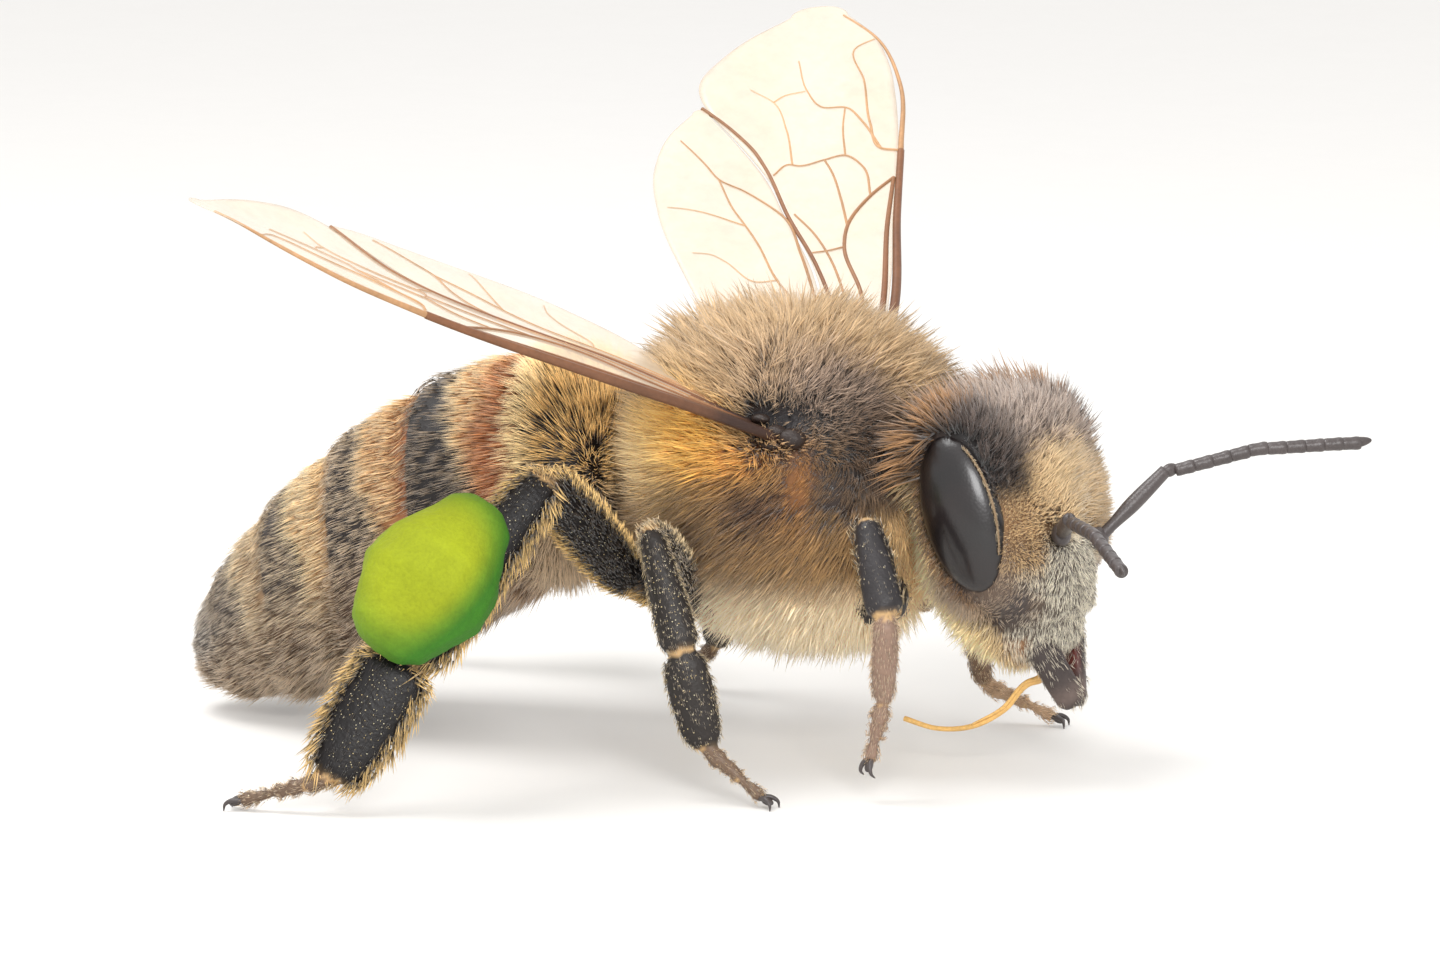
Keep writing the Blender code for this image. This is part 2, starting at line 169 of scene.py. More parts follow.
def paint(base, *layers):
    """Layers over a base colour; each is a colour and the share it covers, up to 1."""
    base = tone(*base) if isinstance(base, tuple) else base
    for colour, share in layers:
        base = mix(base, tone(*colour), np.clip(share, 0, 1))
    return base


# %% [markdown]
# Each part of the body starts as a form: a grid of points, row after row along the
# part and turn after turn around it, closed by a pole at each end. The form is never
# shown. It is the pattern for two things, the skin and the coat, so they always
# carry the same markings. Its grid also gives a natural unwrap: one way around, the
# other along.

# %% Forms: closed grids that carry markings
def from_faces(name, points, faces, smooth=True, edges=()):
    """A mesh object, in millimetres until it is finished."""
    mesh = bpy.data.meshes.new(name)
    mesh.from_pydata(np.asarray(points).tolist(), edges, faces)
    if smooth:
        mesh.shade_smooth()
    made = bpy.data.objects.new(name, mesh)
    scene.collection.objects.link(made)
    return made


def write_layer(made, name, kind, values, domain="POINT"):
    """Keeps values on a mesh under a name."""
    layer = made.data.attributes.new(name, kind, domain)
    values = np.ascontiguousarray(values, np.float32).ravel()
    layer.data.foreach_set("value" if kind == "FLOAT" else "vector", values)


def read_layer(made, name, wide):
    """The values kept under a name, one or more to a row."""
    layer = made.data.attributes[name]
    values = np.zeros(len(layer.data) * wide, np.float32)
    layer.data.foreach_get("value" if wide == 1 else "vector", values)
    return values.reshape(-1, wide)


def grid_faces(rows, turns):
    """Faces of a closed grid with two poles, and the unwrap of each corner."""
    faces, corners = [], []
    for row in range(rows - 1):
        low, high = row / (rows - 1), (row + 1) / (rows - 1)
        start, after = row * turns, (row + 1) * turns
        for n in range(turns):
            m = (n + 1) % turns
            faces.append((start + n, start + m, after + m, after + n))
            near, far = n / turns, (n + 1) / turns
            corners += [(near, low), (far, low), (far, high), (near, high)]
    first_pole, last_row = rows * turns, (rows - 1) * turns
    for n in range(turns):
        m = (n + 1) % turns
        near, far = n / turns, (n + 1) / turns
        faces += [(first_pole, m, n), (first_pole + 1, last_row + n, last_row + m)]
        corners += [(near, 0.0), (far, 0.0), (near, 0.0), (near, 1.0), (near, 1.0), (far, 1.0)]
    return faces, np.array(corners)


def form(name, grid, poles, cell=(0.01, 0.01, 0.98, 0.98)):
    """A closed form over rows of points, with its places, normals, turn and run."""
    rows, turns = grid.shape[:2]
    places = np.vstack([grid.reshape(-1, 3), poles])
    faces, corners = grid_faces(rows, turns)
    wound = np.array([places[list(face[:3])] for face in faces])
    volume = np.einsum("ij,ij->", wound[:, 0], np.cross(wound[:, 1], wound[:, 2]))
    if volume < 0:
        faces = [face[::-1] for face in faces]
        sizes = np.cumsum([0] + [len(face) for face in faces])
        corners = np.vstack([corners[a:b][::-1] for a, b in zip(sizes, sizes[1:])])
    made = from_faces(name, places, faces)
    write_layer(made, "unwrap", "FLOAT2", corners * cell[2:] + cell[:2], "CORNER")
    normals = np.zeros(len(places) * 3)
    made.data.vertices.foreach_get("normal", normals)
    turn_of = np.append(np.tile(np.arange(turns) / turns, rows), (0, 0)) * 2 * math.pi
    run_of = np.append(np.repeat(np.linspace(0, 1, rows), turns), (0, 1))
    return SimpleNamespace(name=name, obj=made, place=places, normal=normals.reshape(-1, 3),
                           turn=turn_of, run=run_of)


def carry(shape, **layers):
    """Writes named values or vectors onto the points of a form."""
    count = len(shape.place)
    for name, values in layers.items():
        values = np.asarray(values, np.float32)
        if values.ndim == 2 or values.shape == (3,):
            write_layer(shape.obj, name, "FLOAT_VECTOR", np.broadcast_to(values, (count, 3)))
        else:
            write_layer(shape.obj, name, "FLOAT", np.broadcast_to(values, (count,)))


def along_skin(direction, normal):
    """A direction laid flat on the surface."""
    direction = np.broadcast_to(direction, normal.shape)
    return unit(direction - normal * np.sum(direction * normal, axis=1, keepdims=True))


def leaning(normal, flat, stand, sum_of_both=1.0):
    """The lie of hair that stands by a share and lies flat by the rest."""
    return unit(normal * stand[:, None] + flat * (sum_of_both - stand)[:, None])


forms = {}


# %% [markdown]
# The chest is a deep, almost round case of muscle. Its coat stands about half a
# millimetre deep, so the skin lies that far inside the solid. It could be a copy of
# the solid pushed inwards, but a loft of ovals gives clean rows, which the markings
# and the lie of the hair follow. The little shield behind the wings, the
# scutellum, shows as a fold and a low bulge at the back of the dome.

# %% The chest
CHEST_COAT = 0.50
CHEST_RIBS = (  # share of the length, then width, height and depth as shares of the half
    (-0.98, 0.12, 0.10, 0.10),
    (-0.92, 0.40, 0.36, 0.36),
    (-0.79, 0.70, 0.66, 0.60),
    (-0.54, 0.89, 0.86, 0.81),
    (-0.23, 0.99, 0.97, 0.95),
    (0.12, 1.00, 1.00, 1.00),
    (0.42, 0.91, 0.92, 0.97),
    (0.69, 0.72, 0.75, 0.83),
    (0.88, 0.44, 0.50, 0.53),
    (0.97, 0.14, 0.16, 0.17),
)


def oval_rows(middles, across, upward, wide, high, deep, turns, power=2.0):
    """Rows of ovals; each has its own middle, half width, height and depth."""
    angles = np.linspace(0, 2 * math.pi, turns, endpoint=False)
    side, rise = (np.sign(wave) * np.abs(wave) ** (2 / power)
                  for wave in (np.cos(angles), np.sin(angles)))
    tall = np.where(rise > 0, np.asarray(high)[:, None], np.asarray(deep)[:, None]) * rise
    out = np.asarray(wide)[:, None] * side
    across, upward = (np.broadcast_to(each, (len(middles), 3)) for each in (across, upward))
    return middles[:, None] + out[..., None] * across[:, None] + tall[..., None] * upward[:, None]


ribs = np.array(CHEST_RIBS)
chest_half = np.ptp(points_of("thorax"), axis=0) / 2
places_along = np.linspace(ribs[0, 0], ribs[-1, 0], 84)
wide, high, deep = through(ribs[:, 0], ribs[:, 1:], places_along).T
length_half = chest_half[0] - CHEST_COAT * 0.8
chest_grid = oval_rows(chest + places_along[:, None] * length_half * AHEAD, LEFT, UP,
                       wide * (chest_half[1] - CHEST_COAT),
                       high * (chest_half[2] - CHEST_COAT - 0.05),
                       deep * (chest_half[2] - CHEST_COAT + 0.08), 128, 2.1)
from_chest = chest_grid - chest
fold = hump(-0.95, 0.13, from_chest[..., 0]) * 0.09 - hump(-1.30, 0.25, from_chest[..., 0]) * 0.08
chest_grid[..., 2] -= fold * step(0.8, 1.5, from_chest[..., 2])
ends = [chest + AHEAD * length_half * s for s in (ribs[0, 0] - 0.005, ribs[-1, 0] + 0.005)]
forms["chest"] = form("chest", chest_grid, ends)
print("chest skin", np.ptp(chest_grid.reshape(-1, 3), axis=0).round(2), "mm")


# %% [markdown]
# The chest's markings: the coat is tan with dark roots on the back, partly painted shade
# deep in the coat, golden behind the wings, pale on the belly, with a patch of painted
# shade on the front of the flank. Around each wing's hinge the skin is bare, dark and
# rusty. Each value is a plain rule in the place on the body, so both sides match.

# %% Markings and lie of the chest
CHEST_SPOTS = {  # middle ahead of the chest's centre and above it, half length, half height
    "disc": (1.15, 1.28, 1.05, 0.68),
    "front": (1.58, 0.50, 0.62, 0.66),
    # painted shade: a darker patch on the front of the flank
    "shade": (1.42, 0.06, 0.52, 0.36),
    "puff": (-0.98, 0.66, 0.60, 0.38),
    "cream": (-1.50, 0.25, 0.45, 0.62),
    "streak": (-0.30, 0.40, 0.55, 0.22),
    "oval": (0.14, -0.16, 0.42, 0.34),
    "strip": (0.70, 0.10, 0.20, 0.46),
    "hinge": (0.20, 0.98, 0.46, 0.20),
    "lobe": (1.14, -0.06, 0.24, 0.34),
    "screen": (0.75, 0.35, 0.85, 0.45),
}


def dress_chest(shape):
    x, y, z = (shape.place - chest).T
    outer = step(0.5, 1.1, np.abs(y))
    at = SimpleNamespace(**{
        name: np.exp(-(((x - mid_x) / wide) ** 2) - ((z - mid_z) / high) ** 2) * outer
        for name, (mid_x, mid_z, wide, high) in CHEST_SPOTS.items()})
    breast = step(1.35, 1.95, x) * step(-0.05, -0.45, z)
    hair = paint(
        (176, 138, 90),
        ((174, 146, 110), step(0.3, 1.2, z)),
        ((151, 130, 113), at.disc * 1.3),
        ((100, 78, 60), at.front * 1.3),
        ((216, 158, 84), at.streak * 1.2),
        ((240, 190, 96), at.puff * 1.5),
        ((238, 208, 150), at.cream * 1.1),
        ((112, 82, 58), np.minimum(at.oval * 1.2, 1) * 0.9),
        ((176, 122, 66), at.strip * 1.2),
        # the painted shade on the front of the flank
        ((118, 96, 76), at.shade * 0.85),
        ((255, 236, 200), step(-0.88, -1.48, z)),
        ((242, 206, 148), breast),
    )
    under = paint(
        (62, 41, 27),
        ((84, 64, 49), step(0.3, 1.0, z)),
        ((42, 34, 30), at.disc * 1.5 + at.front * 1.5),
        ((140, 84, 34), at.streak * 1.4),
        ((200, 128, 46), at.puff * 1.5),
        ((196, 152, 92), at.cream * 1.3),
        ((66, 42, 34), at.oval * 1.3),
        ((218, 184, 140), step(-1.00, -1.5, z)),
        ((188, 142, 88), breast),
        ((128, 84, 44), at.strip * 1.3),
        ((56, 46, 42), at.lobe * 1.6),
        ((30, 26, 28), at.hinge * 1.6),
    )
    swept = step(0.75, 0.0, z)
    comb = AHEAD * 0.5 * np.sign(x)[:, None]
    for direction, share in (
        ((-0.75, 0.0, -0.65), swept),
        ((-0.3, 0.0, -0.8), step(1.2, 1.7, x) * step(0.9, 0.5, z)),
        ((-1.0, 0.0, 0.35), step(-1.0, -1.7, x) * 0.8),
        ((-0.9, 0.0, -0.2), np.clip(at.puff * 1.3, 0, 1)),
    ):
        comb = mix(comb, np.array(direction), share)
    flat = along_skin(comb, shape.normal)
    stand = 0.98 - 0.45 * swept * step(-2.0, -1.2, z)
    reach = 0.68 + 0.08 * at.puff - 0.26 * at.disc - 0.18 * at.front
    reach = reach * (1 - 0.30 * step(1.2, 1.7, x) * step(1.0, 0.6, z))
    low_coat = at.hinge + at.lobe + at.strip + at.oval * 0.6 + at.screen * 0.6
    reach = reach * (1 - 0.55 * np.clip(low_coat, 0, 1))
    bare = np.clip(at.hinge * 1.4 + at.lobe * 0.9 + at.strip * 0.78 + at.oval * 0.6, 0, 1)
    buried = np.abs(x) > 1.98  # inside the neck or the waist
    carry(shape, hair=hair, under=under, lie=leaning(shape.normal, flat, stand, 1.08),
          comb=flat, reach=reach, plenty=np.where(buried, 0.15, 1 - bare * 0.97),
          long_reach=reach * (1 + 0.28 * step(0.9, 1.7, z) + 0.15 * step(-1.3, -1.8, z)))


dress_chest(forms["chest"])


# %% [markdown]
# The abdomen is a cone of six plates that slide into each other like a telescope.
# Its form is rebuilt from the solids' own rings: the back and belly line of each ring
# are found among the corners, so the stripes fall on the real joints, and the width
# follows one smooth curve from the widest plate. Each plate's rear edge stands a little
# proud of the next.

# %% The abdomen
SEGMENTS = [f"abdomen_segment_{k}" for k in range(1, 7)]
RING_PARTS = (0.0, 0.3, 0.65, 1.0)
BACKWARD = unit((-0.8, 0.0, -0.6))
ABDOMEN_COAT = 0.17
JOINT_SHARES = (0.0, 0.26, 0.445, 0.575, 0.70, 0.823, 1.0)  # of the way back, plate by plate


def rings_of(name):
    """Back and belly points of the four rings of one segment, front to rear."""
    points, corner = np.unique(points_of(name).round(3), axis=0, return_inverse=True)
    triangles = np.array([face.vertices[:] for face in nodes[name].data.polygons])
    meeting = np.bincount(corner.ravel()[triangles].ravel(), minlength=len(points))
    on_middle = points[(np.abs(points[:, 1] - chest[1]) < 0.01) & (meeting < 12)]
    upward = np.cross(LEFT, BACKWARD)
    above = (on_middle - on_middle.mean(0)) @ upward * (-1 if upward[2] < 0 else 1)
    return [half[np.argsort(-half[:, 0])] for half in (on_middle[above > 0], on_middle[above < 0])]


rings = [(k + part * 0.96 + 0.02, back, belly) for k, name in enumerate(SEGMENTS)
         for part, back, belly in zip(RING_PARTS, *rings_of(name))]
ring_place, ring_back, ring_belly = zip(*rings)
print(len(rings), "rings found in the abdomen")

abdomen_rows = np.linspace(0.04, 5.97, 170)
back_line = through(ring_place, ring_back, abdomen_rows)
belly_line = through(ring_place, ring_belly, abdomen_rows)
half_rise = (back_line - belly_line) / 2
centre_line = (back_line + belly_line) / 2
share = through(range(7), JOINT_SHARES, abdomen_rows)
widest = max(np.ptp(points_of(name)[:, 1]) / 2 for name in SEGMENTS)
half_wide = widest * np.sin(math.pi * np.clip(share, 0.005, 0.995) ** 0.62) ** 0.62
flank_lead = -unit(np.gradient(centre_line, axis=0)) * (0.26 * np.sin(math.pi * share))[:, None]
plate = 0.045 * (abdomen_rows % 1) ** 1.5 * step(0.0, 0.6, abdomen_rows)
plate = plate * step(5.9, 5.2, abdomen_rows)
shrink_wide = 1 - (ABDOMEN_COAT - plate) / np.maximum(half_wide, 0.5)
shrink_rise = 1 - (ABDOMEN_COAT - plate) / np.maximum(np.linalg.norm(half_rise, axis=1), 0.5)
angles = np.linspace(0, 2 * math.pi, 144, endpoint=False)
abdomen_grid = (centre_line[:, None]
                + (half_wide * shrink_wide)[:, None, None] * np.cos(angles)[None, :, None] * LEFT
                + (half_rise * shrink_rise[:, None])[:, None] * np.sin(angles)[None, :, None]
                + flank_lead[:, None] * (np.cos(angles) ** 2)[None, :, None])
abdomen_ends = [abdomen_grid[0].mean(0), abdomen_grid[-1].mean(0) + BACKWARD * 0.03]
forms["abdomen"] = form("abdomen", abdomen_grid, abdomen_ends)
print("abdomen skin", np.ptp(abdomen_grid.reshape(-1, 3), axis=0).round(2), "mm")


# %% [markdown]
# The stripes: each plate starts with tan hair and ends in a barer dark band. The
# second plate is rust red, with sparser hair, before its band. Toward the tip the bands
# grow wider and greyer, and all but the second fade on the belly.

# %% Stripes and lie of the abdomen
SEGMENT_LOOKS = (  # a row for each plate: where its band starts, how far it fades below,
    # skin in the band and before it, hair before the band and in it, reach of the hair,
    # how bare the band is, how thick the coat
    (0.80, 0.2, (44, 34, 30), (32, 25, 22), (232, 190, 122), (250, 222, 168), 0.50, -0.60, 0.46),
    (0.58, 0.0, (34, 30, 29), (158, 104, 62), (248, 216, 162), (168, 146, 120), 0.40, 0.60, 1.0),
    (0.54, 0.2, (42, 36, 34), (150, 104, 66), (242, 208, 154), (222, 196, 162), 0.38, 0.38, 1.0),
    (0.52, 0.5, (56, 48, 43), (164, 126, 84), (250, 226, 178), (212, 188, 154), 0.37, 0.36, 1.0),
    (0.48, 0.7, (68, 60, 54), (138, 112, 84), (236, 214, 176), (196, 176, 150), 0.36, 0.34, 1.0),
    (0.10, 0.8, (74, 66, 60), (90, 79, 70), (206, 190, 170), (206, 192, 174), 0.38, 0.20, 1.0),
)


def dress_abdomen(shape, grid, rows_at):
    place = np.append(np.repeat(rows_at, grid.shape[1]), (rows_at[0], rows_at[-1]))
    segment = np.minimum(place.astype(int), 5)
    starts, fades, dark, pale, hair, band_hair, reach, bare, plenty = (
        np.array(column)[segment] for column in zip(*SEGMENT_LOOKS))
    dark, pale, hair, band_hair = (tone(*colour.T).T for colour in (dark, pale, hair, band_hair))
    part = place - segment
    up = np.sin(shape.turn)
    wavy = part + (0.02 * np.sin(shape.turn * 9) + 0.015 * np.sin(shape.turn * 23 + 1))
    low = step(0.15, -0.60, up)
    starts = starts - 0.20 * step(0.85, -0.05, up) * (segment > 0)
    band = step(starts - 0.05, starts + 0.07, wavy) * (1 - fades * low)
    red_edge = step(0.22, 0.08, part) * (segment == 2)
    rust = step(0.46, 0.30, wavy + 0.10 * step(0.3, 0.8, up)) * (segment == 1)
    edge = step(0.17, 0.05, wavy) * (segment == 1)
    under = paint(pale, ((134, 80, 50), red_edge * 0.6), ((136, 76, 42), rust))
    under = paint(mix(under, dark, band), ((84, 66, 52), low * 0.9))
    hair = paint(mix(hair, band_hair, band), ((206, 132, 76), rust * 0.85),
                 ((250, 222, 170), edge), ((198, 174, 146), low * 0.9))
    reach = reach * (1 - 0.22 * band) + 0.08 * step(-0.5, -0.95, up) * (segment < 4)
    reach = reach * (1 - 0.62 * step(5.2, 5.9, place))
    plenty = plenty * (1 - band * (bare + 0.22 * step(0.2, 0.9, up) * (segment > 0)))
    plenty = plenty * (1 - 0.45 * red_edge) * (1 - 0.42 * rust * (1 - edge))
    comb = unit(np.vstack([np.gradient(grid, axis=0).reshape(-1, 3), [BACKWARD, BACKWARD]]))
    flat = along_skin(comb, shape.normal)
    stand = np.where(segment == 0, 0.62, 0.25) + 0.12 * step(-0.4, -0.9, up)
    carry(shape, hair=hair, under=under, lie=leaning(shape.normal, flat, stand), comb=flat,
          reach=reach, plenty=plenty * step(0.0, 0.12, place))


dress_abdomen(forms["abdomen"], abdomen_grid, abdomen_rows)


# %% [markdown]
# The head is a flat, three-cornered case with a bulging eye on each side. Its own
# directions come from the two eye solids: left runs from eye to eye, and up along
# the long axis of an eye, which leans back a little. In these directions the face
# is easy to model: a broad vertex on top, the shield over the mouth (clypeus), two
# hollows where the feelers are set, and narrow cheeks below the eyes.

# %% Directions of the head
EYE_LEAN = math.radians(8)


def long_axis(points):
    """The direction in which points spread most, pointing up."""
    centred = points - points.mean(0)
    axis = np.linalg.svd(np.unique(centred.round(3), axis=0), full_matrices=False)[2][0]
    return axis if axis[2] > 0 else -axis


eye_points = {side: points_of(f"eye_{side}") for side in ("left", "right")}
eye_middles = {side: middle(points) for side, points in eye_points.items()}
eye_left = unit(eye_middles["left"] - eye_middles["right"])
eye_tall = unit(long_axis(eye_points["left"]) + long_axis(eye_points["right"]))
eye_deep = unit(np.cross(eye_left, eye_tall))
head_up = unit(eye_tall * math.cos(EYE_LEAN) + eye_deep * math.sin(EYE_LEAN))
head_ahead = unit(np.cross(eye_left, head_up))
eyes_middle = (eye_middles["left"] + eye_middles["right"]) / 2
head_middle = eyes_middle - head_up * 0.32 - head_ahead * 0.02
print("head looks toward", head_ahead.round(2), "from", head_middle.round(2))


def head_place(ahead, left, up):
    return head_middle + head_ahead * ahead + eye_left * left + head_up * up


def in_head(points):
    """Points in the head's own directions: ahead, left, up."""
    offset = points - head_middle
    return offset @ head_ahead, offset @ eye_left, offset @ head_up


# %% [markdown]
# The face is a loft of ovals from the vertex down to the lip, with the coat's depth
# taken off. Low humps and hollows, placed by the head's own coordinates, make the
# shield, the feeler sockets and the cheeks. Beside each eye the face swells out to meet
# it, so that the eye sits in a collar and doesn't stand off like a button.

# %% The head
HEAD_RIBS = (  # height, half width, to the face, to the nape; from the lip to the vertex
    (-1.92, 0.32, 0.48, -0.10),
    (-1.78, 0.58, 0.66, 0.12),
    (-1.45, 0.78, 0.80, 0.42),
    (-1.00, 1.06, 0.90, 0.72),
    (-0.40, 1.34, 0.92, 0.88),
    (0.30, 1.44, 0.86, 0.90),
    (0.92, 1.34, 0.78, 0.88),
    (1.34, 1.06, 0.62, 0.80),
    (1.58, 0.70, 0.38, 0.50),
    (1.66, 0.28, 0.16, 0.22),
)
EYE_HALVES = (0.36, 0.62, 1.13)  # outward, fore and aft, up
EYE_FORWARD = {"right": 0.15, "left": -0.04}
COLLAR = 0.05
eye_centres = {side: eye_middles[side] + eye_deep * EYE_FORWARD[side] for side in EYE_FORWARD}


def eye_share(points, side):
    """How far out a point lies from an eye's middle; 1 is on its surface."""
    offset = points - eye_centres[side]
    parts = (offset @ eye_left, offset @ eye_deep, offset @ eye_tall)
    return np.sqrt(sum((part / half) ** 2 for part, half in zip(parts, EYE_HALVES)))


def outline_share(points):
    """The same for the eye on a point's own side, seen straight from that side."""
    shares = {}
    for side, centre in eye_centres.items():
        offset = points - centre
        shares[side] = np.hypot(offset @ eye_deep / EYE_HALVES[1], offset @ eye_tall / EYE_HALVES[2])
    return np.where(in_head(points)[1] > 0, shares["left"], shares["right"])


ribs = np.array(HEAD_RIBS)
head_rows = np.linspace(ribs[0, 0], ribs[-1, 0], 96)
wide, face, nape = through(ribs[:, 0], ribs[:, 1:], head_rows).T
row_middles = head_middle + head_rows[:, None] * head_up
head_grid = oval_rows(row_middles, eye_left, head_ahead, wide, face, nape, 128, 2.25)
ahead, left, up = in_head(head_grid)
side = np.abs(left)
shield = step(0.60, 0.44, side + 0.16 * (up + 0.9)) * step(-1.42, -1.30, up)
bulge = 0.11 * shield * step(-0.22, -0.40, up)
bulge += 0.07 * hump(0.0, 0.28, left) * hump(0.05, 0.30, up)
bulge -= 0.10 * hump(0.36, 0.15, side) * hump(-0.05, 0.16, up)
bulge += 0.06 * hump(0.0, 0.55, left) * hump(0.85, 0.45, up)
bulge -= 0.05 * hump(0.0, 0.05, left) * step(0.3, 0.5, up) * step(1.2, 1.0, up)
bulge -= 0.05 * hump(-1.36, 0.05, up) * (side < 0.7)
head_grid += (bulge * step(0.1, 0.5, ahead))[..., None] * head_ahead
eye_out = abs((eye_centres["right"] - head_middle) @ eye_left) + COLLAR
missing = np.maximum(eye_out - side, 0) * step(0.30, 0.75, side)
missing = missing * step(1.50, 1.04, outline_share(head_grid))
head_grid += (missing * np.sign(left))[..., None] * eye_left
head_ends = [head_grid[0].mean(0) - head_up * 0.02, head_grid[-1].mean(0) + head_up * 0.02]
forms["head"] = form("head", head_grid, head_ends)
print("head skin", np.ptp(head_grid.reshape(-1, 3), axis=0).round(2), "mm")


# %% [markdown]
# The head's coat changes more than any other: long dark tufts on top, a fluffy tan
# front, short silver hair combed down over the shield, a smooth dark patch on each
# cheek, and gold hair behind the eyes with a long fringe. The rules use the distance
# ahead, left and up, so they can be read like a map of the face.

# %% Markings and lie of the head
def dress_head(shape):
    ahead, left, up = in_head(shape.place)
    side = np.abs(left)
    outward = np.sign(left)[:, None] * eye_left
    front = step(-0.05, 0.30, ahead)
    behind = step(0.10, -0.20, ahead)
    ragged = 0.06 * np.sin(left * 9) + 0.05 * np.sin(left * 23 + 1)
    vertex = step(0.72, 1.28, up + 0.22 * step(0.5, 1.0, side) + ragged)
    frons = front * (1 - vertex) * step(-0.30, 0.10, up)
    shield = front * step(0.0, -0.40, up + 0.42 * step(0.42, 0.80, side))
    offset = np.stack([ahead - 0.48, side - 1.02, up + 1.17], axis=1)
    patch = (hump(0, 0.25, offset @ (0.35, -0.93, -0.12))
             * hump(0, 0.44, offset @ (-0.50, -0.30, -0.81)))
    to_eye = np.minimum(eye_share(shape.place, "left"), eye_share(shape.place, "right"))
    around = outline_share(shape.place)
    margin = step(1.34, 1.12, around) * step(0.5, 0.8, side) * step(0.25, 0.75, up)
    rim = step(1.27, 1.15, around) * (1 - front) * step(0.3, 0.6, side)
    cheek = (step(1.66, 1.34, around) * step(-0.20, -0.70, up)
             * step(0.44, 0.62, side) * step(0.88, 0.68, ahead))
    chin = step(0.50, 0.30, ahead) * step(-1.52, -1.64, up)
    hair = paint(
        (214, 182, 136),
        ((214, 187, 146), frons * step(0.9, 0.2, side)),
        ((255, 246, 224), shield),
        ((154, 138, 126), vertex),
        ((172, 128, 82), vertex * step(-0.1, -0.6, ahead)),
        ((70, 58, 52), margin),
        ((255, 236, 184), behind * step(1.20, 0.75, up) * (1 - rim)),
        ((186, 160, 134), cheek * 0.9),
        ((146, 108, 70), rim),
    )
    under = paint(
        (104, 82, 62),
        ((136, 106, 76), frons * 0.7),
        ((92, 83, 74), shield),
        ((28, 23, 22), vertex),
        ((232, 194, 134), behind * step(1.15, 0.70, up)),
        ((24, 20, 20), margin * front),
        ((94, 78, 66), cheek),
        ((66, 58, 55), patch * 1.6),
        ((136, 100, 68), chin),
        ((44, 34, 30), rim * 0.9),
    )
    reach = 0.26 - 0.09 * shield + 0.08 * frons + 0.06 * behind - 0.03 * cheek
    reach = reach + 0.10 * behind * step(0.3, -0.4, up)
    reach = reach * (1 - 0.50 * step(1.35, 1.06, around) * step(0.4, 0.7, side))
    socket = hump(0.36, 0.17, side) * hump(-0.05, 0.17, up) * front
    plenty = 1.0 - 0.90 * np.clip(patch * 1.5, 0, 1) - 0.25 * chin
    plenty = np.where(to_eye < 1.02, 0.0, plenty * (1 - socket) * (1 - 0.74 * vertex))
    comb = outward * np.minimum(side, 0.8)[:, None] + head_up * (up + 0.10)[:, None]
    comb = mix(comb, -head_ahead * 0.5 + head_up * 0.7, vertex)
    comb = mix(comb, -head_up * 0.80 - head_ahead * 0.7, behind)
    flat = along_skin(comb, shape.normal)
    stand = 0.72 + 0.20 * vertex - 0.30 * shield - 0.14 * behind
    crest = vertex * step(-0.9, -0.5, ahead)
    fringe = behind * step(1.2, 0.8, up) * step(-1.75, -1.45, up) * step(1.20, 1.44, around)
    lie = shape.normal * stand[:, None] + flat * (1.05 - stand)[:, None]
    long_plenty = np.where(to_eye < 1.06, 0.0, np.clip(crest + fringe * 0.9, 0, 1))
    long_reach = 0.24 + 0.20 * crest + 0.42 * crest * step(0.45, -0.50, ahead) + 0.27 * fringe
    carry(shape, hair=hair, under=under, lie=unit(lie + outward * 0.30 * fringe[:, None]),
          comb=flat, reach=reach, plenty=plenty, long_plenty=long_plenty, long_reach=long_reach)


dress_head(forms["head"])


# %% [markdown]
# Neck and waist are short stalks that the coat mostly hides. They only need to join the
# three parts, so that the skin becomes one closed surface.

# %% Neck and waist
def stalk(name, start, end, half):
    """A round rod, a little narrower at its middle."""
    route = np.linspace(start, end, 9)
    halves = half * (0.92 + 0.08 * np.cos(np.linspace(0, 2 * math.pi, 9)))
    upward = unit(np.cross(end - start, LEFT))
    shape = form(name, oval_rows(route, LEFT, upward, halves, halves, halves, 24), [start, end])
    carry(shape, hair=tone(200, 170, 120), under=tone(96, 70, 48), lie=shape.normal, comb=-AHEAD,
          reach=0.3, plenty=0.0)
    return shape


forms["neck"] = stalk("neck", chest + (1.6, 0, -0.4), head_place(-0.4, 0, 0.0), 0.55)
forms["waist"] = stalk("waist", chest + (-1.6, 0, -0.3), abdomen_grid[12].mean(0), 0.62)


# %% [markdown]
# Six legs, each a chain of pieces with narrow joints: thigh (femur), shin (tibia), a flat
# first foot piece (basitarsus) and four small ones. Every joint is found where one
# solid meets the next, so the chain cannot drift.

# %% Find the joints of the legs
LEGS = [f"{side}_{pair}" for side in ("right", "left") for pair in ("front", "middle", "hind")]
LEG_PARTS = ("femur", "tibia", "basitarsus", "tarsus", "claws")


def meeting(before, after, near=0.12):
    """The middle of the face where one solid meets the next."""
    first, second = np.unique(points_of(before), axis=0), points_of(after)
    gaps = np.array([np.linalg.norm(second - point, axis=1).min() for point in first])
    return middle(first[gaps < near])


def farthest(points, start):
    return points[np.argmax(np.linalg.norm(points - start, axis=1))]


def far_end(name, start):
    """The far end of a solid from a point, inside its round cap."""
    return start + (farthest(points_of(name), start) - start) * 0.94


def leg_chain(leg):
    """Hip, knee, ankle, heel, toe and claw tip of one leg."""
    pieces = [f"{leg}_{part}" for part in LEG_PARTS]
    joints = [meeting(a, b) for a, b in zip(pieces, pieces[1:])]
    return [far_end(pieces[0], joints[0]), *joints, far_end(pieces[-1], joints[-1])]


chains = {leg: leg_chain(leg) for leg in LEGS}
print("left hind foot", chains["left_hind"][4].round(2), "claw", chains["left_hind"][5].round(2))


# %% [markdown]
# Each piece is a loft again, with its widths in a table of shares. The flat sides face
# outwards, as on the solids, and the hind shins widen into the basket that carries
# the pollen. A leg is dark and bare on its flats and has a golden fringe along both
# edges. All pieces share one unwrap, so each gets a small cell of it.

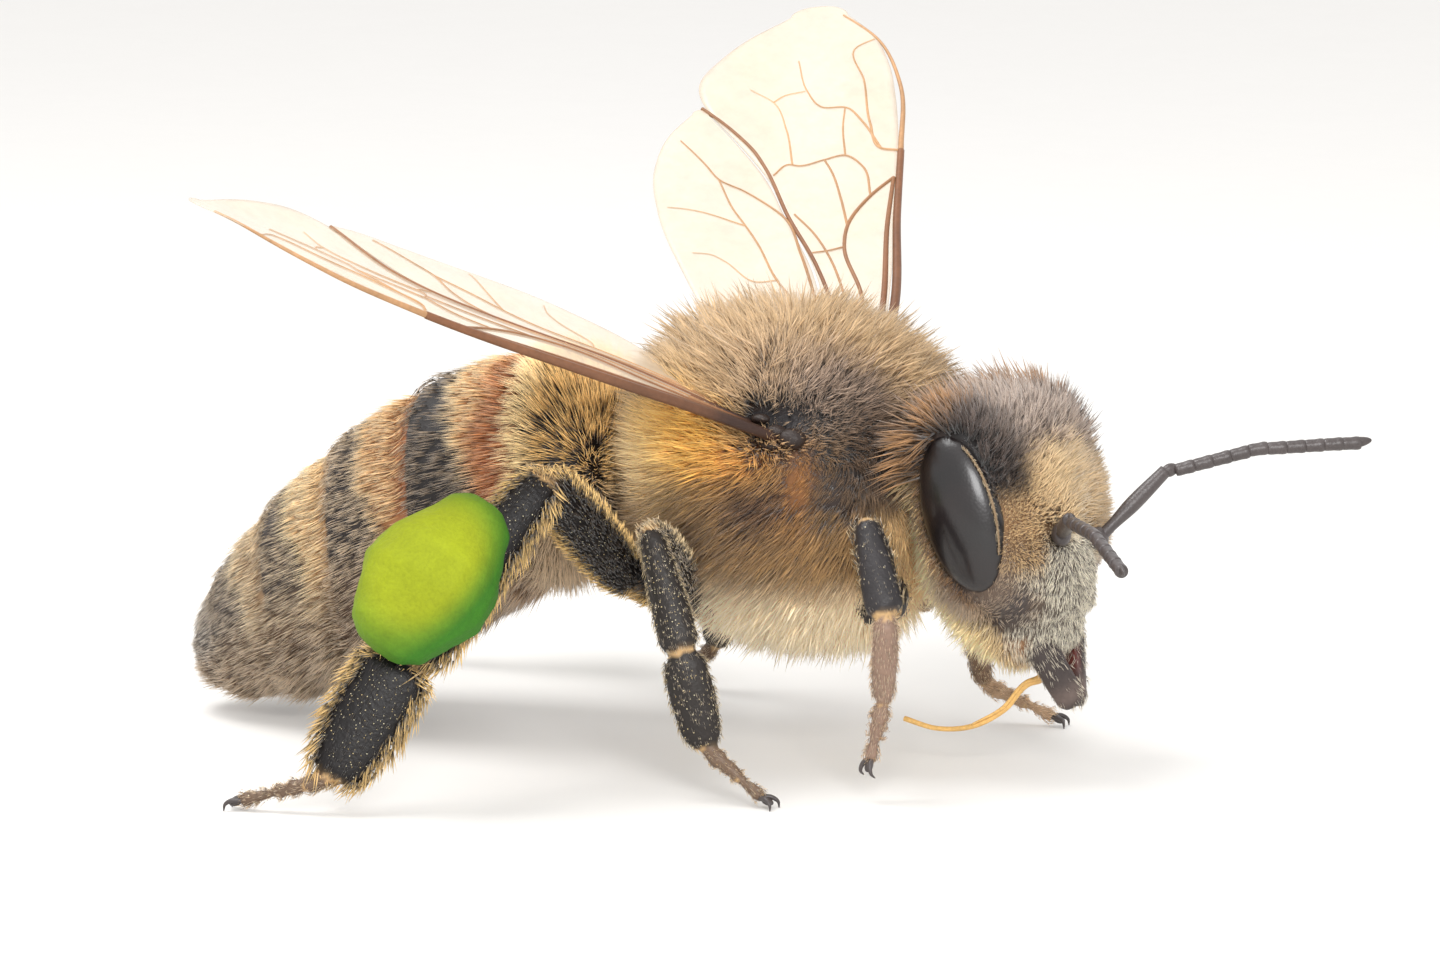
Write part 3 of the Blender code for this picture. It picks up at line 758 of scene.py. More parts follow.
# %% The pieces of a leg
SHAPES = {  # share of the run, share of the width, share of the thickness
    "femur": ((0.0, 0.45, 0.5), (0.06, 0.68, 0.72), (0.25, 0.92, 0.92), (0.55, 1.0, 1.0),
              (0.82, 0.84, 0.88), (0.95, 0.66, 0.74), (1.0, 0.40, 0.50)),
    "tibia": ((0.0, 0.38, 0.5), (0.05, 0.58, 0.70), (0.20, 0.72, 0.85), (0.50, 0.90, 1.0),
              (0.80, 1.0, 1.0), (0.94, 0.92, 0.90), (1.0, 0.55, 0.60)),
    "basitarsus": ((0.0, 0.45, 0.5), (0.06, 0.82, 0.80), (0.25, 1.0, 1.0), (0.60, 1.0, 1.0),
                   (0.86, 0.84, 0.90), (0.96, 0.62, 0.75), (1.0, 0.35, 0.45)),
    "link": ((0.0, 0.42, 0.5), (0.12, 0.62, 0.66), (0.50, 0.84, 0.86), (0.82, 1.0, 1.0),
             (0.95, 0.90, 0.88), (1.0, 0.50, 0.50)),
}
LINK_SHARES = (0.0, 0.27, 0.44, 0.59, 1.0)  # where the four small foot pieces part
FOOT_SHARE = 0.55  # how far the foot reaches along the solid claws
PALE_LEGS = {  # skin of the shin and of the foot on the two front legs
    "right_front": ((42, 39, 40), (132, 108, 93)),
    "left_front": ((122, 99, 80), (182, 152, 124)),
}
CELLS_ACROSS, CELLS_HIGH = 8, 7


def face_of(leg):
    return unit((0.30, -0.90 if leg.startswith("right") else 0.90, 0.25))


def limb_frame(start, end, face):
    """A limb's directions: along, across its flat side, and out of it."""
    axis = unit(end - start)
    outward = unit(face - axis * (face @ axis))
    return axis, unit(np.cross(axis, outward)), outward


def half_measures(name, start, end, face):
    """Half width and half thickness of a solid limb."""
    _, across, outward = limb_frame(start, end, face)
    offset = points_of(name) - (start + end) / 2
    return np.ptp(offset @ across) / 2, np.ptp(offset @ outward) / 2


def limb_grid(start, end, table, wide, thick, face, rows=26, turns=20):
    """Rows of ovals from start to end, with widths from a table of shares."""
    axis, across, outward = limb_frame(start, end, face)
    table = np.array(table)
    even = np.linspace(0, 1, rows)
    shares = (1 - np.cos(even * math.pi)) / 2 * 0.35 + even * 0.65
    sizes = through(table[:, 0], table[:, 1:], shares)
    middles = start + (end - start) * shares[:, None]
    thickness = sizes[:, 1] * thick
    grid = oval_rows(middles, across, outward, sizes[:, 0] * wide, thickness, thickness, turns)
    return grid, [middles[0] - axis * thick * 0.22, middles[-1] + axis * thick * 0.22]


def dress_limb(shape, leg, part, start, end):
    """Black pieces with a golden fringe on both edges, and browner, hairier feet."""
    raised, hind, thigh = leg == "right_front", "hind" in leg, part == "femur"
    foot = part == "link" or (raised and part == "basitarsus")
    broad = hind and part in ("tibia", "basitarsus")
    fringe = step(0.80, 0.98, np.abs(np.cos(shape.turn)))
    ends = step(0.95, 1.0, shape.run) + step(0.03, 0.0, shape.run)
    shell, feet = PALE_LEGS.get(leg, ((16, 12, 12) if hind else (38, 33, 30), (104, 84, 68)))
    under = paint(feet if foot else shell, ((196, 160, 112), np.clip(ends, 0, 1) * 0.8))
    flats, edges = (184, 168, 146), (214, 190, 148)
    if hind:
        flats, edges = (68, 58, 48), (238, 200, 132)
    if foot:
        flats, edges = (206, 182, 152), (226, 198, 160)
    hair = paint(flats, (edges, fringe))
    if leg == "left_front":
        hair = paint(hair, ((236, 208, 170), np.full(len(hair), 0.8)))
    flat = along_skin(unit(end - start), shape.normal)
    reach = 0.095 + (0.25 if broad else 0.05) * fringe * (0.4 if foot else 1.0)
    plenty = 0.55 + (0.45 if hind else 0.25) * fringe + 0.3 * foot + 0.25 * thigh
    specks = (0.4 if foot else 1.0) * (0.10 if raised else 1.0)
    if raised and not foot:
        reach, plenty = reach * 0.6, 0.30 - 0.20 * fringe
    if "middle" in leg:
        reach = reach * 0.8
    carry(shape, hair=hair, under=under, lie=leaning(shape.normal, flat, 0.28 + 0.22 * fringe),
          comb=flat, reach=reach + 0.10 * thigh, plenty=plenty, speck_size=0.010,
          specks=specks * (0.4 + 0.6 * step(0.75, 0.5, np.abs(shape.run - 0.5) * 2)))


leg_forms = []


def add_limb(leg, name, part, start, end, wide, thick, **count):
    """One dressed piece of a leg, in the next free cell of the unwrap."""
    down, aside = divmod(len(leg_forms), CELLS_ACROSS)
    cell = (aside / CELLS_ACROSS + 0.01, down / CELLS_HIGH + 0.01, 0.9 / CELLS_ACROSS, 0.9 / CELLS_HIGH)
    grid, poles = limb_grid(start, end, SHAPES[part], wide, thick, face_of(leg), **count)
    leg_forms.append(form(f"{leg}_{name}", grid, poles, cell))
    dress_limb(leg_forms[-1], leg, part, start, end)


for leg, (hip, knee, ankle, heel, toe, claw_tip) in chains.items():
    for part, start, end in zip(LEG_PARTS, (hip, knee, ankle), (knee, ankle, heel)):
        wide, thick = half_measures(f"{leg}_{part}", start, end, face_of(leg))
        add_limb(leg, part, part, start, end, max(0.62 * wide, wide - 0.10), 0.68 * thick)
    bend = toe + (claw_tip - toe) * FOOT_SHARE - heel
    for n, (low, high) in enumerate(zip(LINK_SHARES, LINK_SHARES[1:])):
        add_limb(leg, f"foot_{n}", "link", heel + bend * low, heel + bend * high,
                 0.145 - 0.012 * n, 0.125 - 0.010 * n, rows=14, turns=16)
    add_limb(leg, "hip", "femur", chest + (hip - chest) * (0.80, 0.62, 0.80), hip, 0.42, 0.38, rows=18)
print(len(leg_forms), "leg pieces")


# %% [markdown]
# Now all forms become one skin. Joining them with Booleans would leave sharp creases, and
# simply overlapping them would show seams. A voxel remesh wraps one closed surface
# around them all, and a light smoothing rounds the joints as soft tissue does. The
# colour of each new point is taken from the nearest point of the forms.

# %% One skin
SKIN_VOXEL = 0.066


def settle(made):
    """Applies an object's modifiers by keeping only the shape they give."""
    graph = bpy.context.evaluated_depsgraph_get()
    mesh = bpy.data.meshes.new_from_object(made.evaluated_get(graph))
    made.modifiers.clear()
    old = made.data
    made.data = mesh
    bpy.data.meshes.remove(old)
    return made


def joined(name, places, objects):
    """One object with the faces of several, at these places."""
    bases = np.cumsum([0] + [len(part) for part in places]).tolist()
    faces = [tuple(base + corner for corner in face.vertices)
             for base, part in zip(bases, objects) for face in part.data.polygons]
    return from_faces(name, np.vstack(places), faces)


def add_wrap(made, voxel, softness, rounds):
    """Wraps one closed surface around a mesh and softens it."""
    wrap = made.modifiers.new("one surface", "REMESH")
    wrap.mode = "VOXEL"
    wrap.voxel_size = voxel
    wrap.use_smooth_shade = True
    soften = made.modifiers.new("soft joints", "SMOOTH")
    soften.factor = softness
    soften.iterations = rounds


all_forms = [*forms.values(), *leg_forms]
source = np.vstack([shape.place for shape in all_forms])
skin = joined("skin", [shape.place for shape in all_forms], [shape.obj for shape in all_forms])
add_wrap(skin, SKIN_VOXEL, 0.5, 3)
settle(skin)
tree = kdtree.KDTree(len(source))
for index, place in enumerate(source):
    tree.insert(place, index)
tree.balance()
nearest = [tree.find(vertex.co)[1] for vertex in skin.data.vertices]
colours = np.vstack([read_layer(shape.obj, "under", 3) for shape in all_forms])
write_layer(skin, "under", "FLOAT_VECTOR", colours[nearest])
print("skin:", len(skin.data.vertices), "points")


# %% [markdown]
# A finish is a small network of nodes. One helper makes a node, sets its plain
# values and links the rest. Many finishes share one effect, a fine grain, so it is
# built once as a group: it mottles a colour and gives a height for the bump. The
# pattern reads object coordinates, so it stays on the bee from every side.

# %% Helpers for finishes
def add(tree, kind, inputs=None, **settings):
    """A node with its settings; each input is a plain value or another node's socket."""
    made = tree.nodes.new(kind)
    for name, value in settings.items():
        setattr(made, name, value)
    for key, value in (inputs or {}).items():
        if isinstance(value, bpy.types.NodeSocket):
            tree.links.new(value, made.inputs[key])
        else:
            made.inputs[key].default_value = value
    return made


def open_group(name, kind, inputs, outputs):
    """A node group with named sockets, given as name and kind, and what it is given."""
    tree = bpy.data.node_groups.new(name, kind)
    for way, sockets in (("INPUT", inputs), ("OUTPUT", outputs)):
        for socket, of_kind in sockets:
            tree.interface.new_socket(socket, in_out=way, socket_type=f"NodeSocket{of_kind}")
    return tree, add(tree, "NodeGroupInput").outputs


def opaque(colour):
    return (*[float(part) for part in colour], 1.0)


def in_millimetres(tree):
    """The place on the object, in millimetres."""
    place = add(tree, "ShaderNodeTexCoord").outputs["Object"]
    return add(tree, "ShaderNodeVectorMath", {0: place, 1: (1000, 1000, 1000)},
               operation="MULTIPLY").outputs[0]


def noise(tree, place, scale, detail, **more):
    settings = {"Vector": place, "Scale": scale, "Detail": detail, **more}
    return add(tree, "ShaderNodeTexNoise", settings).outputs["Fac"]


def grain_group():
    """Mottles a colour and gives a fine height, by place in millimetres."""
    tree, given = open_group(
        "fine grain", "ShaderNodeTree",
        (("Colour", "Color"), ("Grains per mm", "Float"), ("Mottle", "Float")),
        (("Colour", "Color"), ("Height", "Float")))
    place = in_millimetres(tree)
    fine = noise(tree, place, given["Grains per mm"], 3.0, Roughness=0.6)
    coarse = noise(tree, place, 1.7, 2.0)
    both = add(tree, "ShaderNodeMath", {0: fine, 1: coarse}, operation="ADD").outputs[0]
    swing = add(tree, "ShaderNodeMapRange", {"Value": both, "From Min": 0.6, "From Max": 1.4,
                                             "To Min": -1.0, "To Max": 1.0}).outputs["Result"]
    amount = add(tree, "ShaderNodeMath", {0: swing, 1: given["Mottle"], 2: 1.0},
                 operation="MULTIPLY_ADD").outputs[0]
    lit = add(tree, "ShaderNodeVectorMath", {0: given["Colour"], "Scale": amount},
              operation="SCALE").outputs[0]
    add(tree, "NodeGroupOutput", {"Colour": lit, "Height": fine})
    return tree


GRAIN = grain_group()


def new_finish(name, **values):
    """A material with a Principled BSDF; an input's name is written with _ for a space."""
    made = bpy.data.materials.new(name)
    made.use_nodes = True
    shader = made.node_tree.nodes["Principled BSDF"]
    for socket, value in values.items():
        shader.inputs[socket.replace("_", " ")].default_value = value
    return made, made.node_tree, shader


def named(tree, name, output="Fac"):
    """A value, or with Color a colour, that the mesh carries under a name."""
    return add(tree, "ShaderNodeAttribute", attribute_name=name).outputs[output]


def ramp(tree, share, first, last, *between):
    """Blends colours along a share; each stop is a position and a colour."""
    made = add(tree, "ShaderNodeValToRGB", {"Fac": share})
    for stop, (position, colour) in zip(made.color_ramp.elements, (first, last)):
        stop.position, stop.color = position, opaque(tone(*colour))
    for position, colour in between:
        made.color_ramp.elements.new(position).color = opaque(tone(*colour))
    return made.outputs["Color"]


def grained(tree, shader, colour, per_mm, mottle, bump, depth=0.00002):
    """Links a colour through the fine grain, with its bump."""
    if not isinstance(colour, bpy.types.NodeSocket):
        colour = opaque(colour)
    grain = add(tree, "ShaderNodeGroup", {"Colour": colour, "Grains per mm": per_mm,
                                          "Mottle": mottle}, node_tree=GRAIN)
    tree.links.new(grain.outputs["Colour"], shader.inputs["Base Color"])
    if bump:
        relief = add(tree, "ShaderNodeBump", {"Height": grain.outputs["Height"],
                                              "Strength": bump, "Distance": depth})
        tree.links.new(relief.outputs["Normal"], shader.inputs["Normal"])


# %% [markdown]
# The skin is hard, slightly oily cuticle: its colour is the marking that it carries, and
# its gloss breaks up over tiny pits. A hair starts in the skin's colour, which is partly
# the dark skin and partly painted shade deep in the coat, turns into its own toward the
# tip, and is a little lighter or darker than its neighbours.

# %% Finishes of skin and hair
skin_finish, tree, shader = new_finish("cuticle", Roughness=0.42, Specular_IOR_Level=0.30)
grained(tree, shader, named(tree, "under", "Color"), 16.0, 0.22, 0.7)

coat_finish, tree, shader = new_finish("bee hair", Roughness=0.62, Specular_IOR_Level=0.30,
                                       Sheen_Weight=0.25, Sheen_Roughness=0.45)
# painted shade: each hair's lower part takes the skin's dark colour, fading to its own toward the tip
rise = add(tree, "ShaderNodeMapRange", {"Value": named(tree, "along"), "From Min": 0.0,
                                        "From Max": 0.70}).outputs["Result"]
blend = add(tree, "ShaderNodeMix", {0: rise, 6: named(tree, "under", "Color"),
                                    7: named(tree, "hair", "Color")}, data_type="RGBA")
both = add(tree, "ShaderNodeMath", {0: named(tree, "tint"), 1: 2.2, 2: named(tree, "shade")},
           operation="MULTIPLY_ADD").outputs[0]
chance = add(tree, "ShaderNodeMapRange", {"Value": both, "From Max": 3.2, "To Min": 0.62,
                                          "To Max": 1.72}).outputs["Result"]
strand = add(tree, "ShaderNodeVectorMath", {0: blend.outputs[2], "Scale": chance}, operation="SCALE")
tree.links.new(strand.outputs[0], shader.inputs["Base Color"])


# %% [markdown]
# A coat is thousands of tufts. Each tuft is a few thin spikes that share a root and lean
# together. Hair curves or particles would be quicker to set up, but they are lost
# when the model leaves Blender, so the tufts are real mesh. A handful of tufts is
# made here, one unit long, and then repeated.

# %% Tufts
KINDS = 6  # different tufts on a shelf


def shelve(shelf, kind, points, faces, patch):
    """Puts a small mesh on a shelf, with its corners' places on a patch of the unwrap."""
    made = from_faces(f"{shelf.name}_{kind}", points, faces)
    scene.collection.objects.unlink(made)
    shelf.objects.link(made)
    write_layer(made, "patch", "FLOAT_VECTOR", np.clip(patch, 0, 1))
    return made


def tuft_shelf(name, hairs, spread, gather, bend, girth, pieces, seed):
    """A few different tufts of unit length, each hair a closed three-sided spike."""
    chance = np.random.default_rng(seed)
    shelf = bpy.data.collections.new(name)
    for kind in range(KINDS):
        points, faces, along, tint = [], [], [], []
        for _ in range(hairs):
            angle, out = chance.uniform(0, 2 * math.pi), spread * math.sqrt(chance.uniform(0, 1))
            root = np.array((math.cos(angle) * out, math.sin(angle) * out, 0.0))
            tip = root * gather + (*chance.normal(0, 0.06, 2), 0.0)
            length, lean = chance.uniform(0.58, 1.0), bend * chance.uniform(0.6, 1.4)
            base = len(points)
            for cut in range(pieces):
                share = cut / pieces
                centre = root * (1 - share) + tip * share + (lean * share**2, 0, length * share)
                radius = girth * (1 - 0.35 * share)
                for corner in range(3):
                    turn = angle + corner * 2 * math.pi / 3
                    points.append(centre + (math.cos(turn) * radius, math.sin(turn) * radius, 0))
                    along.append(share)
            points.append(tip + (lean, 0, length))
            along.append(1.0)
            tint += [chance.uniform(0, 1)] * (3 * pieces + 1)
            faces.append((base + 2, base + 1, base))
            for cut in range(pieces):
                low = base + 3 * cut
                for a, b in ((low, low + 1), (low + 1, low + 2), (low + 2, low)):
                    last = cut == pieces - 1
                    faces.append((a, b, len(points) - 1) if last else (a, b, b + 3, a + 3))
        patch = [(point[0] / (4 * spread) + 0.5, point[2], 0.0) for point in points]
        made = shelve(shelf, kind, points, faces, patch)
        write_layer(made, "along", "FLOAT", along)
        write_layer(made, "tint", "FLOAT", tint)
    return shelf


def speck_shelf(name, seed):
    """Grains of pollen dust: lumps with eight faces."""
    chance = np.random.default_rng(seed)
    shelf = bpy.data.collections.new(name)
    ends = np.array([(1, 0, 0), (0, 1, 0), (-1, 0, 0), (0, -1, 0), (0, 0, 1), (0, 0, -1)], float)
    faces = [(k, (k + 1) % 4, 4) for k in range(4)] + [((k + 1) % 4, k, 5) for k in range(4)]
    for kind in range(KINDS):
        shelve(shelf, kind, ends * chance.uniform(0.7, 1.1, (6, 1)), faces, ends * 0.5 + 0.5)
    return shelf


# %% [markdown]
# Geometry Nodes spread the tufts over a form: points are scattered as thickly as the
# marking says, each gets a tuft whose long side follows the lie of the coat and whose
# bend follows the comb, and everything becomes plain mesh at the end. Two
# noises keep it natural: a small one tips each tuft on its own, and a broad one
# gathers neighbours into locks. The map OFBake puts each tuft on a tiny patch at its
# root's place in the unwrap of the form.

# %% The coat's node tree
PATCH_SIZE = 0.003


def open_geometry(name, *inputs):
    """A geometry node tree from Geometry to Geometry, with more named inputs."""
    body = ("Geometry", "Geometry")
    return open_group(name, "GeometryNodeTree", (body, *inputs), (body,))


def close_geometry(tree, mesh, finish):
    """Gives the mesh its material and hands it out."""
    mesh = add(tree, "GeometryNodeSetMaterial", {"Geometry": mesh, "Material": finish}).outputs[0]
    add(tree, "NodeGroupOutput", {0: mesh})
    return tree


def facing(tree, along, beside):
    """A rotation that turns Z along one direction and X toward another."""
    return add(tree, "FunctionNodeAxesToRotation", {"Primary Axis": along, "Secondary Axis": beside},
               primary_axis="Z", secondary_axis="X").outputs[0]


def coat_tree():
    tree, given = open_geometry(
        "coat of tufts", ("Tufts", "Collection"), ("Tufts per square mm", "Float"), ("Seed", "Int"),
        ("Own tilt", "Float"), ("Locks", "Float"), ("Sunk", "Float"), ("Plenty layer", "String"),
        ("Reach layer", "String"), ("Finish", "Material"))

    def layer(name, kind):
        return add(tree, "GeometryNodeInputNamedAttribute", {"Name": name},
                   data_type=kind).outputs["Attribute"]

    def maths(operation, first, second):
        return add(tree, "ShaderNodeMath", {0: first, 1: second}, operation=operation).outputs[0]

    def vectors(operation, first, second):
        key = "Scale" if operation == "SCALE" else 1
        return add(tree, "ShaderNodeVectorMath", {0: first, key: second},
                   operation=operation).outputs[0]

    def chance(low, high, seed, kind="FLOAT", first=2):
        made = add(tree, "FunctionNodeRandomValue", {first: low, first + 1: high, "Seed": seed},
                   data_type=kind)
        return made.outputs[first // 2]

    lie = layer("lie", "FLOAT_VECTOR")
    thickly = maths("MULTIPLY", layer(given["Plenty layer"], "FLOAT"), given["Tufts per square mm"])
    spots = add(tree, "GeometryNodeDistributePointsOnFaces", {
        "Mesh": given["Geometry"], "Density": thickly, "Seed": given["Seed"]}).outputs["Points"]
    spots = add(tree, "GeometryNodeStoreNamedAttribute", {
        "Geometry": spots, "Name": "shade", "Value": chance(0.0, 1.0, 11)},
        data_type="FLOAT", domain="POINT").outputs[0]
    tilt = chance((-1, -1, -1), (1, 1, 1), 5, "FLOAT_VECTOR", 0)
    place = add(tree, "GeometryNodeInputPosition").outputs[0]
    swirl = add(tree, "ShaderNodeTexNoise", {"Vector": place, "Scale": 3.2, "Detail": 1.0})
    swirl = vectors("SUBTRACT", swirl.outputs["Color"], (0.5, 0.5, 0.5))
    leaned = vectors("ADD", lie, vectors("SCALE", tilt, given["Own tilt"]))
    leaned = vectors("ADD", leaned, vectors("SCALE", swirl, given["Locks"]))
    turned = facing(tree, leaned, layer("comb", "FLOAT_VECTOR"))
    size = maths("MULTIPLY", chance(0.68, 1.22, 7), layer(given["Reach layer"], "FLOAT"))
    shelf = add(tree, "GeometryNodeCollectionInfo", {
        "Collection": given["Tufts"], "Separate Children": True, "Reset Children": True}).outputs[0]
    pick = chance(0, KINDS - 1, 3, "INT", 4)
    sunk = vectors("SCALE", lie, maths("MULTIPLY", given["Sunk"], -1.0))
    spots = add(tree, "GeometryNodeSetPosition", {"Geometry": spots, "Offset": sunk}).outputs[0]
    tufts = add(tree, "GeometryNodeInstanceOnPoints", {
        "Points": spots, "Instance": shelf, "Pick Instance": True, "Instance Index": pick,
        "Rotation": turned, "Scale": size}).outputs[0]
    mesh = add(tree, "GeometryNodeRealizeInstances", {"Geometry": tufts}).outputs[0]
    patch = vectors("SCALE", layer("patch", "FLOAT_VECTOR"), PATCH_SIZE)
    mesh = add(tree, "GeometryNodeStoreNamedAttribute", {
        "Geometry": mesh, "Name": "OFBake",
        "Value": vectors("ADD", layer("unwrap", "FLOAT_VECTOR"), patch)},
        data_type="FLOAT2", domain="CORNER").outputs[0]
    return close_geometry(tree, mesh, given["Finish"])


COAT_TREE = coat_tree()
SPARE_LAYERS = ("reach", "patch", "unwrap", "lie", "comb", "plenty", "long_plenty", "long_reach",
                "specks", "speck_size")


def grown(made, tree, values):
    """Runs a node tree on an object, with values for its inputs, and keeps the result."""
    growth = made.modifiers.new(tree.name, "NODES")
    growth.node_group = tree
    for socket in tree.interface.items_tree:
        if socket.name in values:
            growth[socket.identifier] = values[socket.name]
    return settle(made)


def dressed(made, finish):
    """Gives a piece its one finish and says how large it is."""
    made.data.materials.clear()
    made.data.materials.append(finish)
    made.data.polygons.foreach_set("material_index", np.zeros(len(made.data.polygons), np.int32))
    made.data.calc_loop_triangles()
    print(made.name, len(made.data.loop_triangles), "triangles")
    return made


coats = []


def grow_coat(name, form_object, shelf, per_mm, seed, tilt, locks, layers=("plenty", "reach"),
              sunk=0.03, finish=coat_finish):
    """One piece of coat over a form, as plain mesh in millimetres."""
    made = bpy.data.objects.new(name, form_object.data.copy())
    scene.collection.objects.link(made)
    grown(made, COAT_TREE, {
        "Tufts": shelf, "Tufts per square mm": float(per_mm), "Seed": seed, "Own tilt": tilt,
        "Locks": locks, "Sunk": sunk, "Plenty layer": layers[0], "Reach layer": layers[1],
        "Finish": finish})
    for layer_name in SPARE_LAYERS:
        if layer_name in made.data.attributes:
            made.data.attributes.remove(made.data.attributes[layer_name])
    coats.append(dressed(made, finish))


# %% [markdown]
# Now the coats grow. The chest carries the deepest one, in long bent tufts; the
# abdomen and the face have short straight ones. Each coat is split into pieces, so that
# none is heavier than a slicer or a game engine takes. A coat can also grow over
# several forms at once, joined into one pattern with all that they carry. The legs
# use this, and the same tree scatters grains of pollen dust on them.

# %% Grow the coats
TUFTS = {  # hairs, spread, gather, bend, girth, pieces, seed
    "long": (4, 0.10, 0.5, 0.20, 0.026, 2, 1),
    "fuzz": (8, 0.24, 0.8, 0.10, 0.020, 1, 4),
    "short": (6, 0.24, 1.0, 0.12, 0.023, 1, 2),
    "fine": (6, 0.40, 0.8, 0.12, 0.042, 1, 3),
    "crest": (5, 0.13, 0.30, 0.20, 0.022, 2, 6),
    "leg": (3, 0.40, 0.9, 0.15, 0.050, 1, 5),
}
COATS = (  # form, number, tufts, tufts to a square mm, own tilt, locks, other layers
    ("chest", 1, "long", 92, 0.28, 0.45, ("plenty", "long_reach")),
    ("chest", 2, "fuzz", 115, 0.26, 0.35),
    ("chest", 3, "fuzz", 115, 0.26, 0.35),
    ("abdomen", 1, "short", 144, 0.13, 0.14),
    ("abdomen", 2, "short", 144, 0.13, 0.14),
    ("head", 1, "fine", 400, 0.22, 0.25),
    ("head", 2, "crest", 212, 0.34, 0.60, ("long_plenty", "long_reach")),
)


def pattern(name, shapes, float_layers=("reach", "plenty")):
    """Several forms as one object, with all they carry."""
    made = joined(name, [shape.place for shape in shapes], [shape.obj for shape in shapes])
    layers = [(layer, "FLOAT_VECTOR", 3, "POINT") for layer in ("hair", "under", "lie", "comb")]
    layers += [(layer, "FLOAT", 1, "POINT") for layer in float_layers]
    for layer, kind, wide, domain in (*layers, ("unwrap", "FLOAT2", 2, "CORNER")):
        values = np.vstack([read_layer(shape.obj, layer, wide) for shape in shapes])
        write_layer(made, layer, kind, values, domain)
    return made


shelves = {name: tuft_shelf(f"{name}_tufts", *values) for name, values in TUFTS.items()}
for part, number, tufts, per_mm, *lie in COATS:
    grow_coat(f"{part}_coat_{number}", forms[part].obj, shelves[tufts], per_mm, number, *lie)

leg_patterns = []
for number, side in enumerate(("right", "left"), 1):
    side_forms = [shape for shape in leg_forms if shape.name.startswith(side)]
    made = pattern(f"{side}_legs", side_forms, ("reach", "plenty", "specks", "speck_size"))
    leg_patterns.append(made)
    grow_coat(f"leg_coat_{number}", made, shelves["leg"], 370, number, 0.14, 0.08)

speck_finish, tree, shader = new_finish("pollen dust", Roughness=0.7)
dust = ramp(tree, named(tree, "shade"), (0.0, (214, 186, 126)), (1.0, (246, 238, 206)))
tree.links.new(dust, shader.inputs["Base Color"])
specks = speck_shelf("specks", 6)
for number, made in enumerate(leg_patterns, 1):
    grow_coat(f"leg_dust_{number}", made, specks, 120, number, 0.9, 0.0,
              ("specks", "speck_size"), 0.0, speck_finish)


# %% [markdown]
# An eye is a smooth dome of thousands of lenses. Modelling them would take millions of
# faces for something too small to see, so the dome is real and the lenses are a
# fine bump. Under a thin clear coat the colour is almost black.

# %% The eyes
eye_finish, tree, shader = new_finish("eye lens", Roughness=0.36, Specular_IOR_Level=0.34,
                                      Coat_Weight=0.60, Coat_Roughness=0.20)
place = in_millimetres(tree)
lenses = add(tree, "ShaderNodeTexVoronoi", {"Vector": place, "Scale": 22.0}).outputs["Distance"]
relief = add(tree, "ShaderNodeBump", {"Height": lenses, "Strength": 0.25, "Distance": 0.00001},
             invert=True)
tree.links.new(relief.outputs["Normal"], shader.inputs["Normal"])
dark = ramp(tree, noise(tree, place, 1.3, 2.0), (0.30, (13, 10, 11)), (0.72, (28, 20, 20)))
tree.links.new(dark, shader.inputs["Base Color"])


def in_metres(made, replaced=()):
    """Turns a piece from millimetres into metres and fixes it to the bee."""
    made.data.transform(Matrix.Scale(TO_METRES, 4))
    made.data.update()
    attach(made, "root")
    if replaced:
        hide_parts(*replaced)


def dome(name, centre, axes, halves, rows=48, turns=64):
    """A closed egg shape with its own directions and half measures."""
    rise = np.linspace(-math.pi / 2, math.pi / 2, rows + 2)[1:-1]
    middles = centre + np.sin(rise)[:, None] * halves[2] * axes[2]
    wide, high = np.cos(rise) * halves[0], np.cos(rise) * halves[1]
    grid = oval_rows(middles, axes[0], axes[1], wide, high, high, turns)
    return form(name, grid, [centre - axes[2] * halves[2], centre + axes[2] * halves[2]]).obj


def eye_margin(side, low, high):
    """A thin raised line along an eye's inner edge, between two shares of its half height."""
    outward = eye_left * (1 if side == "left" else -1)
    tall = np.linspace(low, high, 24)
    deep = np.sqrt(1 - tall**2) * EYE_HALVES[1] * 0.97
    route = eye_centres[side] + outward * 0.13 + tall[:, None] * EYE_HALVES[2] * eye_tall
    route = route + deep[:, None] * eye_deep
    girth = 0.018 * np.sin(np.linspace(0.3, math.pi - 0.3, 24)) ** 0.5
    grid = oval_rows(route, outward, eye_deep, girth, girth, girth, 12)
    shape = form(f"eye_margin_{side}", grid, [route[0], route[-1]])
    carry(shape, hair=tone(228, 210, 176), under=tone(128, 106, 80),
          comb=along_skin(-eye_tall, shape.normal), reach=0.055, plenty=1.0,
          lie=unit(shape.normal * 0.35 + eye_deep * 0.3 - eye_tall * 0.6))
    return shape


eye_margins = []
for side in ("left", "right"):
    eye = dome(f"eye_dome_{side}", eye_centres[side], (eye_left, eye_deep, eye_tall), EYE_HALVES)
    in_metres(dressed(eye, eye_finish), [f"eye_{side}"])
    eye_margins.append(eye_margin(side, -0.60, 0.80))
margin_pattern = pattern("margin_pattern", eye_margins)
grow_coat("margin_coat", margin_pattern, shelves["leg"], 1300, 1, 0.6, 0.1)
for shape in eye_margins:
    in_metres(dressed(shape.obj, skin_finish))


# %% [markdown]
# Feelers and claws are bare dark shell. A feeler is a long first piece (scape), a
# ball-like hinge (pedicel) and a whip of ten short rings. The rings repeat along a
# path, which is a task for Geometry Nodes: resample the path, put a ring on each
# point, turn it along the path, and realize.

# %% The feelers
shell_finish, tree, shader = new_finish("dark shell", Roughness=0.36, Specular_IOR_Level=0.5)
grained(tree, shader, tone(68, 61, 60), 22.0, 0.35, 0.4)
FEELER_GIRTH = 0.092
RINGS = 10
RING_TABLE = ((0.0, 0.90, 0.90), (0.06, 0.95, 0.95), (0.5, 0.98, 0.98), (0.92, 1.02, 1.02),
              (1.0, 0.94, 0.94))


